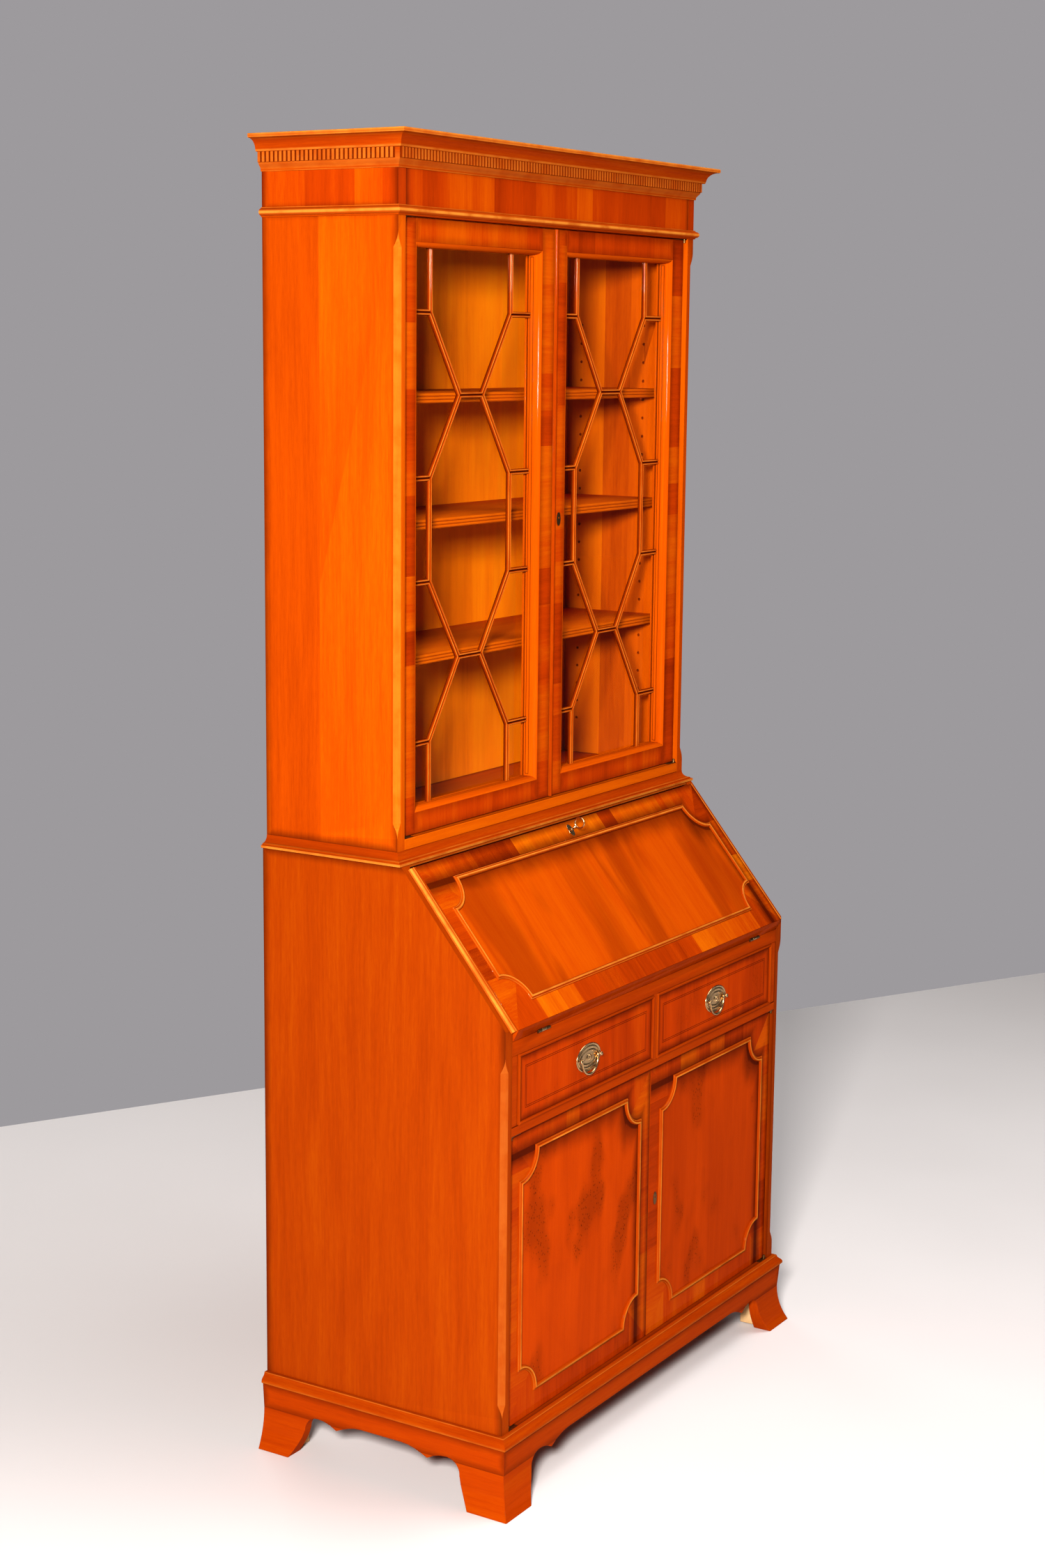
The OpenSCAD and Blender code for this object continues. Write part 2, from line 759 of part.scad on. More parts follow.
// a knife hinge's fixed plate with its pin
module fixed_leaf(x, y, z, dir) {
    translate([x, y, z]) scale([1, 1, dir]) {
        translate([-22, -3.5, 0]) cube([25, 20, 0.6]);
        translate([0, 0, 0.6]) cylinder(h = 6, r = 2);
    }
}

module hinge_plates() {
    color("#c9a24b") place() both() {
        fixed_leaf(low_axis_x, low_axis_y, floor_z, 1);
        fixed_leaf(low_axis_x, low_axis_y, rail_z, -1);
        fixed_leaf(up_axis_x, up_axis_y, up_z + up_board, 1);
        fixed_leaf(up_axis_x, up_axis_y, frieze_z, -1);
        for (x = [332, 355]) translate([x, 0, hinge_z]) rotate([0, 90, 0]) cylinder(h = 11, r = 2.8);
        board(333, 365, 8, 33, bed_z - 1.2, bed_z);
    }
}

// ---------- glazed doors ----------

sight_prof = concat(
    [[up_door_y, 0]],
    [for (i = [1:4]) [up_door_y + 9.6 * (1 - cos(22.5 * i)), sight_w * sin(22.5 * i)]],
    [[glass_y, sight_w], [glass_y, 0]]);

module glazed_frame() {
    y1 = up_door_y + up_door_t;
    board(up_door_x0, sight_x0, up_door_y, y1, up_door_z0, up_door_z1);
    board(sight_x1, up_door_x1, up_door_y, y1, up_door_z0, up_door_z1);
    board(sight_x0, sight_x1, up_door_y, y1, up_door_z0, sight_z0);
    board(sight_x0, sight_x1, up_door_y, y1, sight_z1, up_door_z1);
    mitred_frame(sight_x0, sight_x1, sight_z0, sight_z1, sight_w, sight_prof);
    mitred_frame(sight_x0, sight_x1, sight_z0, sight_z1, sight_w,
        [[glass_y + 3, 0], [y1, 0], [y1, sight_w], [glass_y + 3, sight_w]]);
}

module glazed_glass() {
    board(sight_x0 + 0.3, sight_x1 - 0.3, glass_y, glass_y + 3, sight_z0 + 0.3, sight_z1 - 0.3);
}

module bar(p, q) {
    d = q - p;
    translate(p) rotate(atan2(d[1], d[0])) translate([-bar_w / 4, -bar_w / 2]) square([norm(d) + bar_w / 2, bar_w]);
}

// one quarter of the lattice, from the centre of the door
module lattice_quarter() {
    hw = (sight_x1 - sight_x0) / 2 - sight_w;
    hh = (sight_z1 - sight_z0) / 2 - sight_w;
    bar([112, 0], [112, 78]);
    bar([112, 78], [hw - bar_w / 4, 78]);
    bar([112, 78], [31, 200]);
    bar([0, 200], [31, 200]);
    bar([31, 200], [112, 322.5]);
    bar([112, 322.5], [hw - bar_w / 4, 322.5]);
    bar([112, 322.5], [112, hh - bar_w / 4]);
}

module glazed_bars() {
    translate([lattice_x, 0, lattice_z]) along_y(glass_y - 6, glass_y) union() {
        for (a = [0, 1], b = [0, 1]) mirror([a, 0]) mirror([0, b]) lattice_quarter();
    }
}

module glazed_hinges() {
    door_leaf(up_axis_x, up_axis_y, up_z + up_board, 1);
    door_leaf(up_axis_x, up_axis_y, frieze_z, -1);
}

module upper_door_right_frame() {
    color("#8a3d1c") place() glazed_frame();
}

module upper_door_left_frame() {
    color("#8a3d1c") place() mirror([1, 0, 0]) glazed_frame();
}

module upper_door_right_bars() {
    color("#8a4b22") place() glazed_bars();
}

module upper_door_left_bars() {
    color("#8a4b22") place() mirror([1, 0, 0]) glazed_bars();
}

module upper_door_right_glass() {
    color([0.8, 0.85, 0.85, 0.3]) place() glazed_glass();
}

module upper_door_left_glass() {
    color([0.8, 0.85, 0.85, 0.3]) place() mirror([1, 0, 0]) glazed_glass();
}

module upper_door_right_bead() {
    r = 3.25;
    h = up_door_z1 - up_door_z0;
    color("#7a3f1d") place() translate([0, 0, up_door_z0]) linear_extrude(h) difference() {
        translate([up_door_x0 + r, up_door_y]) circle(r);
        translate([up_door_x0 - 1, up_door_y]) square([9, 9]);
    }
}

module upper_door_right_brassware() {
    color("#c9a24b") place() {
        glazed_hinges();
        door_lock(20, up_door_y, up_door_y + up_door_t, 1472, 1);
    }
}

module upper_door_left_hinges() {
    color("#c9a24b") place() mirror([1, 0, 0]) glazed_hinges();
}

upper_side_left();
upper_side_right();
upper_bottom_board();
upper_top_board();
upper_back_panel();
frieze_board();
frieze_bead();
dentil_band();
cornice_moulding();
bookcase_shelves();
shelf_pins();
door_catches();
hinge_plates();
upper_door_left_frame();
upper_door_left_bars();
upper_door_left_glass();
upper_door_left_hinges();
upper_door_right_frame();
upper_door_right_bars();
upper_door_right_glass();
upper_door_right_bead();
upper_door_right_brassware();
waist_moulding();
lower_top_board();
lower_side_left();
lower_side_right();
lower_bottom_board();
lower_back_panel();
front_rails();
dust_board();
writing_bed();
pigeonhole_boards();
small_drawer_left();
small_drawer_right();
cupboard_shelf();
fall_panel();
fall_moulding();
fall_brassware();
fall_key();
drawer_left_front();
drawer_left_box();
drawer_left_plate();
drawer_left_bail();
drawer_right_front();
drawer_right_box();
drawer_right_plate();
drawer_right_bail();
loper_left();
loper_right();
lower_door_left_panel();
lower_door_left_moulding();
lower_door_left_hinges();
lower_door_right_panel();
lower_door_right_moulding();
lower_door_right_brassware();
base_moulding();
plinth_front();
plinth_side_left();
plinth_side_right();
foot_blocks();
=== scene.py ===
"""Looks of the secretary bookcase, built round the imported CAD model.

Lengths in this script are millimetres in the drawing's own axes (y = 0 is the front plane of
the lower case); at() turns them into metres in the row frame. Grain coordinates, the edge data
on the faces and the sizes in the shaders are metres."""
import bpy
import bmesh
import math
import random
from mathutils import Matrix, Vector


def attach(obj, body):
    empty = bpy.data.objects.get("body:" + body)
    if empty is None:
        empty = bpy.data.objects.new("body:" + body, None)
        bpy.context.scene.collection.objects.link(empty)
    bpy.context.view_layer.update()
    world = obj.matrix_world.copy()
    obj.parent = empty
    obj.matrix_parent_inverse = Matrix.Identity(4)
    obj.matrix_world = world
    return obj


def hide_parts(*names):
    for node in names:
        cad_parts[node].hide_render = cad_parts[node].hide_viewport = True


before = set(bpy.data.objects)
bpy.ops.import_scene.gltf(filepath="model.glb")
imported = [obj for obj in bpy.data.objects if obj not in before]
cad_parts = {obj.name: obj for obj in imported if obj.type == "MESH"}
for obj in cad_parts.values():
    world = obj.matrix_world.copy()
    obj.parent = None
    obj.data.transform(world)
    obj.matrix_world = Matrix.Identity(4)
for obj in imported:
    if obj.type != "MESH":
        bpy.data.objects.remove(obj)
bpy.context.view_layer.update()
rng = random.Random(11)

# ---------------------------------------------------------------- sizes, as in the CAD source
MID_Y = 211.0
LOW_HW, UP_HW, SIDE_T, CASE_D, UP_Y = 455.0, 445.0, 19.0, 447.0, 201.0
LOW_IN = LOW_HW - SIDE_T
SLOPE_Z, WAIST_Z, SLOPE_Y = 755.7, 981.0, 187.0
SLOPE_A = math.atan2(WAIST_Z - SLOPE_Z, SLOPE_Y)
SC, SS = math.cos(SLOPE_A), math.sin(SLOPE_A)
FALL_OUT, FALL_TOP, FALL_LIP, FALL_HW = 7.0, 285.0, 6.0, LOW_IN - 1.5
GLASS_Y = 231.0
SIGHT_X0, SIGHT_X1, SIGHT_Z0, SIGHT_Z1 = 37.0, 388.0, 1051.0, 1895.0
FRIEZE_BEAD_Z, FRIEZE_Z, CORNICE_Z, TOP_Z = 1931.0, 1939.0, 1997.0, 2050.0
LOW_DOOR_Y, LOW_DOOR_X0, LOW_DOOR_X1 = 7.0, 0.75, 434.5
LOW_DOOR_Z0, LOW_DOOR_Z1 = 126.5, 588.9
DRAWER_X0, DRAWER_X1, DRAWER_Z0, DRAWER_Z1 = 5.5, 418.0, 604.0, 713.7
HANDLE_X, HANDLE_Z, POST_X = (DRAWER_X0 + DRAWER_X1) / 2, (DRAWER_Z0 + DRAWER_Z1) / 2 + 0.5, 30.0
# centre line of the applied mouldings: half width, half height, radius of the bitten corners
DOOR_NOTCH, DOOR_NOTCH_UP = (182.0, 194.0, 46.0), 2.0
FALL_NOTCH, FALL_NOTCH_S = (406.0, 107.5, 47.0), 141.0

# data on each corner of a face: (x, z, half width, half height) within the applied moulding,
# the same within the face itself, and (radius of the bitten corners, tone, wear and painted light, leaf
# width)
LAYERS = ("edge_in", "edge_out", "look")
NO_MOULDING, NO_EDGE = (0, 0, 0, 0), (0, 0, 9, 9)
PLAIN = (0, 0.5, 0, 0)
X_AXIS, Z_AXIS = Vector((1, 0, 0)), Vector((0, 0, 1))


def at(p):
    return Vector((p[0] / 1000, (p[1] - MID_Y) / 1000, p[2] / 1000))


def slope(x, s, off):
    """A point on the fall's own axes: x, distance up the slope, distance out of its face."""
    return Vector((x, s * SC - off * SS, SLOPE_Z + s * SS + off * SC))


def sind(a):
    return math.sin(math.radians(a))


def cosd(a):
    return math.cos(math.radians(a))


# ---------------------------------------------------------------- shader helpers
class Nodes:
    """The cleared node tree of a material or world, with short ways to add to it."""

    def __init__(self, owner):
        owner.use_nodes = True
        self.t = owner.node_tree
        self.t.nodes.clear()

    def new(self, kind, **props):
        n = self.t.nodes.new(kind)
        for k, v in props.items():
            setattr(n, k, v)
        return n

    def put(self, socket, value):
        if isinstance(value, bpy.types.NodeSocket):
            self.t.links.new(value, socket)
        elif value is not None:
            socket.default_value = value

    def end(self, shader, kind="ShaderNodeOutputMaterial"):
        self.put(self.new(kind).inputs[0], shader)

    def math(self, op, a, b=None, c=None, clamp=False):
        n = self.new("ShaderNodeMath", operation=op, use_clamp=clamp)
        self.put(n.inputs[0], a)
        self.put(n.inputs[1], b)
        self.put(n.inputs[2], c)
        return n.outputs[0]

    def add(self, a, b):
        return self.math("ADD", a, b)

    def sub(self, a, b):
        return self.math("SUBTRACT", a, b)

    def mul(self, a, b, clamp=False):
        return self.math("MULTIPLY", a, b, clamp=clamp)

    def vec(self, x, y, z=0.0):
        n = self.new("ShaderNodeCombineXYZ")
        for i, v in enumerate((x, y, z)):
            self.put(n.inputs[i], v)
        return n.outputs[0]

    def split(self, v):
        n = self.new("ShaderNodeSeparateXYZ")
        self.put(n.inputs[0], v)
        return n.outputs

    def noise(self, vec, scale=1.0, detail=3.0, rough=0.55, distort=0.0):
        n = self.new("ShaderNodeTexNoise")
        self.put(n.inputs["Vector"], vec)
        self.put(n.inputs["Scale"], scale)
        self.put(n.inputs["Detail"], detail)
        self.put(n.inputs["Roughness"], rough)
        self.put(n.inputs["Distortion"], distort)
        return n.outputs["Fac"]

    def step(self, x, lo, hi, out0=0.0, out1=1.0):
        n = self.new("ShaderNodeMapRange", interpolation_type="SMOOTHSTEP")
        for i, v in enumerate((x, lo, hi, out0, out1)):
            self.put(n.inputs[i], v)
        return n.outputs[0]

    def mix(self, fac, a, b):
        n = self.new("ShaderNodeMix", data_type="RGBA")
        self.put(n.inputs[0], fac)
        self.put(n.inputs[6], a)
        self.put(n.inputs[7], b)
        return n.outputs[2]

    def ramp(self, fac, stops):
        n = self.new("ShaderNodeValToRGB")
        self.put(n.inputs[0], fac)
        el = n.color_ramp.elements
        while len(el) < len(stops):
            el.new(0.5)
        for e, (p, c) in zip(el, stops):
            e.position, e.color = p, (*c, 1)
        return n.outputs[0]

    def attr(self, name):
        return self.new("ShaderNodeAttribute", attribute_name=name)

    def bump(self, height, strength, distance):
        n = self.new("ShaderNodeBump")
        self.put(n.inputs["Strength"], strength)
        self.put(n.inputs["Distance"], distance)
        self.put(n.inputs["Height"], height)
        return n.outputs[0]


MATS = {}


def material(name):
    MATS[name] = bpy.data.materials.new(name)
    return Nodes(MATS[name])


def wood(name, dark, mid, light, glaze_and_shade, fine=1.0, figure=1.0, smoke=0.0, pips=0.0, block_tone=0.5,
         strings=(), rough=0.26, coat=0.5, bump=0.05, rub_and_highlight=0.5, tint=(1.0, 0.42, 0.10, 1)):
    """Veneer or solid wood. 'grain' runs along u; attributes carry edges, tone, wear and painted light
    (highlight and shade), and blocks. The fifth colour is that of the glaze and the painted shade at edges,
    against mouldings and in grooves.

    strings are the distances of fine dark lines from the edge of the piece."""
    n = material(name)
    uv = n.new("ShaderNodeUVMap", uv_map="grain")
    u, v, _ = n.split(uv.outputs[0])
    e1, e2, e3 = n.attr("edge_in"), n.attr("edge_out"), n.attr("look")
    px, pz, hx = n.split(e1.outputs["Vector"])
    hz = e1.outputs["Alpha"]
    qx, qz, kx = n.split(e2.outputs["Vector"])
    kz = e2.outputs["Alpha"]
    notch, tone, wear_and_painted_light = n.split(e3.outputs["Vector"])
    block = e3.outputs["Alpha"]
    # veneer leaves: irregular blocks across the grain
    has = n.math("GREATER_THAN", block, 0.001)
    width = n.math("MAXIMUM", block, 0.001)
    turns = n.math("DIVIDE", v, width)
    wob = n.mul(n.math("SINE", n.mul(turns, 2.17)), 0.33)
    idx = n.mul(n.math("FLOOR", n.add(turns, wob)), has)
    seed = n.add(n.mul(idx, 7.31), n.mul(tone, 41.0))
    white = n.new("ShaderNodeTexWhiteNoise", noise_dimensions="1D")
    n.put(white.inputs["W"], seed)
    leaf = n.sub(white.outputs["Value"], 0.5)
    # fibres, figure and smoke
    u2 = n.add(u, n.mul(seed, 0.37))
    v2 = n.add(v, n.mul(seed, 0.113))
    slow = n.noise(n.vec(n.mul(u2, 2.2), n.mul(v2, 7.0), seed), 1.0, 2.0)
    vw = n.add(v2, n.mul(n.sub(slow, 0.5), 0.02))
    fibre = n.noise(n.vec(n.mul(u2, 60.0), n.mul(vw, 900.0), seed), 1.0, 2.0, 0.6)
    lines = n.noise(n.vec(n.mul(u2, 9.0), n.mul(vw, 210.0), seed), 1.0, 3.0, 0.6)
    broad = n.noise(n.vec(n.mul(u2, 2.4), n.mul(vw, 26.0), seed), 1.0, 3.0, 0.5, 0.4)
    k = n.math("MULTIPLY_ADD", n.sub(lines, 0.5), 0.42 * fine, 0.5)
    k = n.math("MULTIPLY_ADD", n.sub(fibre, 0.5), 0.34 * fine, k)
    k = n.math("MULTIPLY_ADD", n.sub(broad, 0.5), 0.75 * figure, k)
    k = n.math("MULTIPLY_ADD", n.mul(leaf, has), block_tone, k)
    col = n.ramp(k, [(0.08, dark), (0.5, mid), (0.95, light)])
    if smoke:
        cloud = n.noise(n.vec(n.mul(u2, 1.7), n.mul(vw, 9.5), 4.0), 1.0, 3.0, 0.55, 0.7)
        band = n.step(cloud, 0.46, 0.64, 0.0, smoke)
        col = n.mix(band, col, (mid[0] * 0.42, mid[1] * 0.30, mid[2], 1))
    if pips:
        where = n.noise(n.vec(n.mul(u2, 6.5), n.mul(v2, 11.0), 9.0), 1.0, 2.0, 0.5)
        spot = n.new("ShaderNodeTexVoronoi", feature="F1")
        n.put(spot.inputs["Vector"], n.vec(n.mul(u2, 150.0), n.mul(v2, 260.0), 2.0))
        n.put(spot.inputs["Scale"], 1.0)
        knot = n.mul(n.step(spot.outputs["Distance"], 0.32, 0.10), n.step(where, 0.53, 0.62))
        haze = n.step(where, 0.50, 0.66, 0.0, 0.55 * pips)
        col = n.mix(haze, col, (*[c * 0.40 for c in mid], 1))
        col = n.mix(n.mul(knot, 0.8 * pips), col, (*[c * 0.10 for c in mid], 1))
    # glaze that gathers at edges and against mouldings, with painted shade there too: a painted dark line
    # where a moulding meets the panel, and painted shade along each arris
    ax = n.sub(hx, n.math("ABSOLUTE", px))
    az = n.sub(hz, n.math("ABSOLUTE", pz))
    rad = n.math("SQRT", n.add(n.mul(ax, ax), n.mul(az, az)))
    sdf = n.math("MINIMUM", n.math("MINIMUM", ax, az), n.sub(rad, notch))
    sdf = n.math("ABSOLUTE", sdf)
    has_in = n.math("GREATER_THAN", hx, 0.0001)
    blot = n.noise(n.vec(n.mul(u, 24.0), n.mul(v, 24.0), 3.0), 1.0, 3.0)
    near = n.sub(sdf, n.mul(n.sub(blot, 0.5), 0.010))
    s1 = n.mul(n.step(near, 0.026, 0.001), n.mul(has_in, 0.72))
    line = n.mul(n.step(sdf, 0.0085, 0.0042), n.mul(has_in, 0.88))
    rim = n.math("MINIMUM", n.sub(kx, n.math("ABSOLUTE", qx)), n.sub(kz, n.math("ABSOLUTE", qz)))
    rim_b = n.sub(rim, n.mul(n.sub(blot, 0.5), 0.006))
    size = n.step(n.math("MINIMUM", kx, kz), 0.002, 0.030)
    s2 = n.mul(n.step(rim_b, 0.015, -0.002), n.mul(size, 0.70))
    # negative values darken grooves and hollows: painted shade
    s3 = n.math("MAXIMUM", n.mul(wear_and_painted_light, -1.0), 0.0)
    arris = n.mul(n.step(rim, 0.0040, 0.0008), n.mul(size, 0.72))
    shade = n.math("MAXIMUM", n.math("MAXIMUM", s1, s2), s3)
    shade = n.math("MAXIMUM", shade, n.math("MAXIMUM", line, arris))
    for d in strings:
        gap = n.math("ABSOLUTE", n.sub(rim, d))
        shade = n.math("MAXIMUM", shade, n.step(gap, 0.0008, 0.0003, 0.0, 0.75))
    col = n.mix(shade, col, (*glaze_and_shade, 1))
    # positive values lighten crests and chamfers towards a pale colour: rubbed wear and a painted highlight
    rub_and_highlight_mask = n.mul(n.math("MAXIMUM", wear_and_painted_light, 0.0), rub_and_highlight, clamp=True)
    rub_and_highlight_mask = n.mul(rub_and_highlight_mask, n.step(blot, 0.30, 0.62, 0.45, 1.0))
    col = n.mix(rub_and_highlight_mask, col, (light[0] * 1.35, light[1] * 2.3, 0.03, 1))
    b = n.new("ShaderNodeBsdfPrincipled")
    n.put(b.inputs["Base Color"], col)
    ro = n.math("MULTIPLY_ADD", n.sub(lines, 0.5), 0.10, rough)
    ro = n.math("MULTIPLY_ADD", n.sub(blot, 0.5), 0.10, ro)
    n.put(b.inputs["Roughness"], ro)
    b.inputs["Coat Weight"].default_value = coat * 0.12
    b.inputs["Coat Roughness"].default_value = 0.06
    b.inputs["Coat IOR"].default_value = 1.42
    b.inputs["Specular IOR Level"].default_value = 0.0
    b.inputs["Specular Tint"].default_value = tint
    n.put(b.inputs["Normal"], n.bump(n.add(n.mul(fibre, 0.5), n.mul(lines, 0.6)), bump, 0.0006))
    n.end(b.outputs[0])


def brass(name, base, tarnish, rough):
    n = material(name)
    tc = n.new("ShaderNodeTexCoord")
    a = n.noise(tc.outputs["Object"], 420.0, 4.0)
    c = n.noise(tc.outputs["Object"], 90.0, 3.0)
    e3 = n.attr("look")
    wear_and_painted_light = n.split(e3.outputs["Vector"])[2]
    dirt = n.math("MAXIMUM", n.mul(wear_and_painted_light, -1.0), n.step(c, 0.50, 0.70, 0.0, 0.45))
    col = n.mix(dirt, (*base, 1), (*tarnish, 1))
    b = n.new("ShaderNodeBsdfPrincipled")
    n.put(b.inputs["Base Color"], col)
    b.inputs["Metallic"].default_value = 1.0
    n.put(b.inputs["Roughness"], n.add(n.math("MULTIPLY_ADD", a, 0.16, rough), n.mul(dirt, 0.18)))
    n.put(b.inputs["Normal"], n.bump(a, 0.08, 0.0003))
    n.end(b.outputs[0])


# base colours of the stained woods
O_DARK, O_MID, O_LIGHT = (0.16, 0.013, 0.0006), (0.37, 0.040, 0.0008), (0.52, 0.105, 0.0015)
# the dark colour of the glaze and the painted shade at edges, against mouldings and in grooves
GLAZE_AND_SHADE = (0.040, 0.0035, 0.0005)
wood("side_veneer", (0.20, 0.021, 0.0004), (0.35, 0.049, 0.0005), (0.46, 0.105, 0.001),
     (0.060, 0.007, 0.0006), fine=0.8, figure=0.45, block_tone=0.30)
# the side veneer darkened for the lower sides: painted shade, for the lesser light they get
wood("lower_side_shaded_veneer", (0.15, 0.014, 0.0004), (0.25, 0.034, 0.0005), (0.33, 0.070, 0.001),
     (0.045, 0.005, 0.0006), fine=0.9, figure=0.5, block_tone=0.25)
wood("frieze_veneer", (0.15, 0.012, 0.0004), (0.30, 0.032, 0.0005), (0.46, 0.090, 0.001),
     (0.035, 0.003, 0.0005), fine=0.6, figure=0.7, block_tone=0.34)
wood("front_veneer", O_DARK, O_MID, O_LIGHT, GLAZE_AND_SHADE, fine=0.7, figure=0.7, block_tone=0.4)
wood("border_veneer", (0.13, 0.010, 0.0004), (0.34, 0.036, 0.0005), (0.50, 0.110, 0.0015), GLAZE_AND_SHADE,
     fine=0.6, figure=0.6, block_tone=0.36)
wood("bold_veneer", (0.12, 0.009, 0.0004), (0.33, 0.038, 0.0005), (0.56, 0.150, 0.002), GLAZE_AND_SHADE,
     fine=0.6, figure=0.5, block_tone=0.52)
wood("field_veneer", (0.17, 0.014, 0.0004), (0.35, 0.044, 0.0005), (0.46, 0.088, 0.001), GLAZE_AND_SHADE,
     fine=0.6, figure=0.5, smoke=0.5)
wood("burr_veneer", (0.20, 0.018, 0.0003), (0.44, 0.051, 0.0003), (0.52, 0.085, 0.0005), GLAZE_AND_SHADE,
     fine=0.35, figure=0.38, smoke=0.16, pips=1.0)
wood("string_veneer", (0.14, 0.011, 0.0004), (0.36, 0.038, 0.0005), (0.48, 0.078, 0.001), GLAZE_AND_SHADE,
     fine=0.6, figure=0.8, smoke=0.35, pips=0.4, strings=(0.0175, 0.0202))
wood("moulding_wood", (0.12, 0.010, 0.0004), (0.26, 0.032, 0.0005), (0.40, 0.090, 0.002),
     (0.016, 0.0015, 0.0004), fine=0.7, figure=0.5, rough=0.24, rub_and_highlight=0.8)
wood("rail_wood", (0.17, 0.016, 0.0004), (0.30, 0.036, 0.0005), (0.40, 0.075, 0.001),
     (0.045, 0.004, 0.0005), fine=0.7, figure=0.5)
wood("back_veneer", (0.52, 0.095, 0.0008), (0.78, 0.190, 0.0015), (0.88, 0.290, 0.003),
     (0.22, 0.030, 0.0008), fine=0.7, figure=0.8, smoke=0.15, block_tone=0.22, coat=0.25, rough=0.36)
wood("inner_veneer", (0.24, 0.030, 0.0004), (0.46, 0.082, 0.0006), (0.60, 0.150, 0.001),
     (0.06, 0.006, 0.0005), fine=0.6, figure=0.6, coat=0.3, rough=0.30, rub_and_highlight=0.8)
wood("sight_wood", (0.20, 0.022, 0.0004), (0.40, 0.060, 0.0006), (0.56, 0.130, 0.001),
     (0.02, 0.002, 0.0004), fine=0.5, figure=0.5, rub_and_highlight=0.8, strings=(0.0034,))
wood("inner_wood", (0.15, 0.014, 0.0004), (0.30, 0.038, 0.0006), (0.42, 0.080, 0.001),
     (0.06, 0.006, 0.0006), fine=0.7, figure=0.6, block_tone=0.3, coat=0.3, rough=0.32)
wood("secondary_wood", (0.40, 0.22, 0.10), (0.56, 0.36, 0.18), (0.68, 0.48, 0.27),
     (0.28, 0.15, 0.07), fine=0.9, figure=0.6, block_tone=0.25, coat=0.0, rough=0.62, bump=0.3,
     tint=(1, 1, 1, 1))
brass("aged_brass", (0.52, 0.34, 0.17), (0.035, 0.020, 0.010), 0.17)
brass("dark_brass", (0.17, 0.095, 0.035), (0.03, 0.017, 0.008), 0.30)
brass("bright_brass", (0.86, 0.64, 0.32), (0.30, 0.20, 0.09), 0.16)


def clear_glass(name):
    n = material(name)
    tc = n.new("ShaderNodeTexCoord")
    wave = n.noise(tc.outputs["Object"], 6.0, 2.0)
    through = n.new("ShaderNodeBsdfTransparent")
    n.put(through.inputs[0], n.mix(wave, (0.98, 0.99, 0.985, 1), (0.99, 0.995, 0.992, 1)))
    gloss = n.new("ShaderNodeBsdfGlossy")
    n.put(gloss.inputs["Roughness"], n.mul(wave, 0.03))
    fresnel = n.new("ShaderNodeFresnel")
    n.put(fresnel.inputs[0], 1.42)
    mixed = n.new("ShaderNodeMixShader")
    geo = n.new("ShaderNodeNewGeometry")
    front = n.sub(1.0, geo.outputs["Backfacing"])
    n.put(mixed.inputs[0], n.mul(n.mul(fresnel.outputs[0], front), 0.6))
    n.put(mixed.inputs[1], through.outputs[0])
    n.put(mixed.inputs[2], gloss.outputs[0])
    n.end(mixed.outputs[0])


def speckled(n, scale, dark, light, rough_gain, rough):
    """A plain surface mottled in two colours, for the plastic catch and the floor."""
    tc = n.new("ShaderNodeTexCoord")
    spots = n.noise(tc.outputs["Object"], scale, 3.0)
    b = n.new("ShaderNodeBsdfPrincipled")
    n.put(b.inputs["Base Color"], n.mix(spots, (*dark, 1), (*light, 1)))
    n.put(b.inputs["Roughness"], n.math("MULTIPLY_ADD", spots, rough_gain, rough))
    n.end(b.outputs[0])


clear_glass("clear_glass")
speckled(material("catch_plastic"), 300.0, (0.70, 0.68, 0.62), (0.82, 0.80, 0.74), 0.2, 0.35)


# ---------------------------------------------------------------- mesh helpers
class Piece:
    """Gathers faces with their grain, edge, and wear and painted light data, then becomes one object."""

    def __init__(self, name, body, slot, mats, replaces=(), smooth=35):
        self.name, self.body, self.slot, self.mats = name, body, slot, mats
        self.replaces, self.smooth = replaces, smooth
        self.v, self.f = [], []

    def vert(self, p):
        self.v.append(Vector(p))
        return len(self.v) - 1

    def face(self, idx, uv, look=PLAIN, wear_and_painted_light=None, ein=None, eout=None, mat=0):
        k = len(idx)
        ein = ein or [NO_MOULDING] * k
        eout = eout or [NO_EDGE] * k
        looks = [look] * k if wear_and_painted_light is None else [(look[0], look[1], w, look[3]) for w in wear_and_painted_light]
        self.f.append((list(idx), uv, ein, eout, looks, mat))

    def build(self):
        me = bpy.data.meshes.new(self.name)
        me.from_pydata([at(p) for p in self.v], [], [f[0] for f in self.f])
        me.uv_layers.new(name="grain")
        for nm in LAYERS:
            me.attributes.new(nm, "FLOAT_COLOR", "CORNER")
        layers = [me.attributes[nm] for nm in LAYERS]
        uvl = me.uv_layers["grain"]
        i = 0
        for poly, (idx, uv, ein, eout, looks, mat) in zip(me.polygons, self.f):
            poly.material_index = mat
            for j in range(len(idx)):
                uvl.data[i].uv = uv[j]
                for layer, values in zip(layers, (ein, eout, looks)):
                    layer.data[i].color = values[j]
                i += 1
        bm = bmesh.new()
        bm.from_mesh(me)
        bmesh.ops.recalc_face_normals(bm, faces=bm.faces)
        bm.to_mesh(me)
        bm.free()
        me.validate()
        finish_object(self.name, me, self.mats, self.body, self.slot, self.replaces, self.smooth)


def finish_object(name, me, mats, body, slot, replaces, smooth, bevel=0.0):
    for nm in mats:
        me.materials.append(MATS[nm])
    ob = bpy.data.objects.new(name, me)
    bpy.context.scene.collection.objects.link(ob)
    if bevel:
        m = ob.modifiers.new("bevel", "BEVEL")
        m.width, m.segments, m.limit_method = bevel / 1000, 2, "WEIGHT"
    for poly in me.polygons:
        poly.use_smooth = True
    bpy.context.view_layer.objects.active = ob
    me.set_sharp_from_angle(angle=math.radians(smooth))
    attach(ob, body)
    if replaces:
        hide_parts(*replaces)


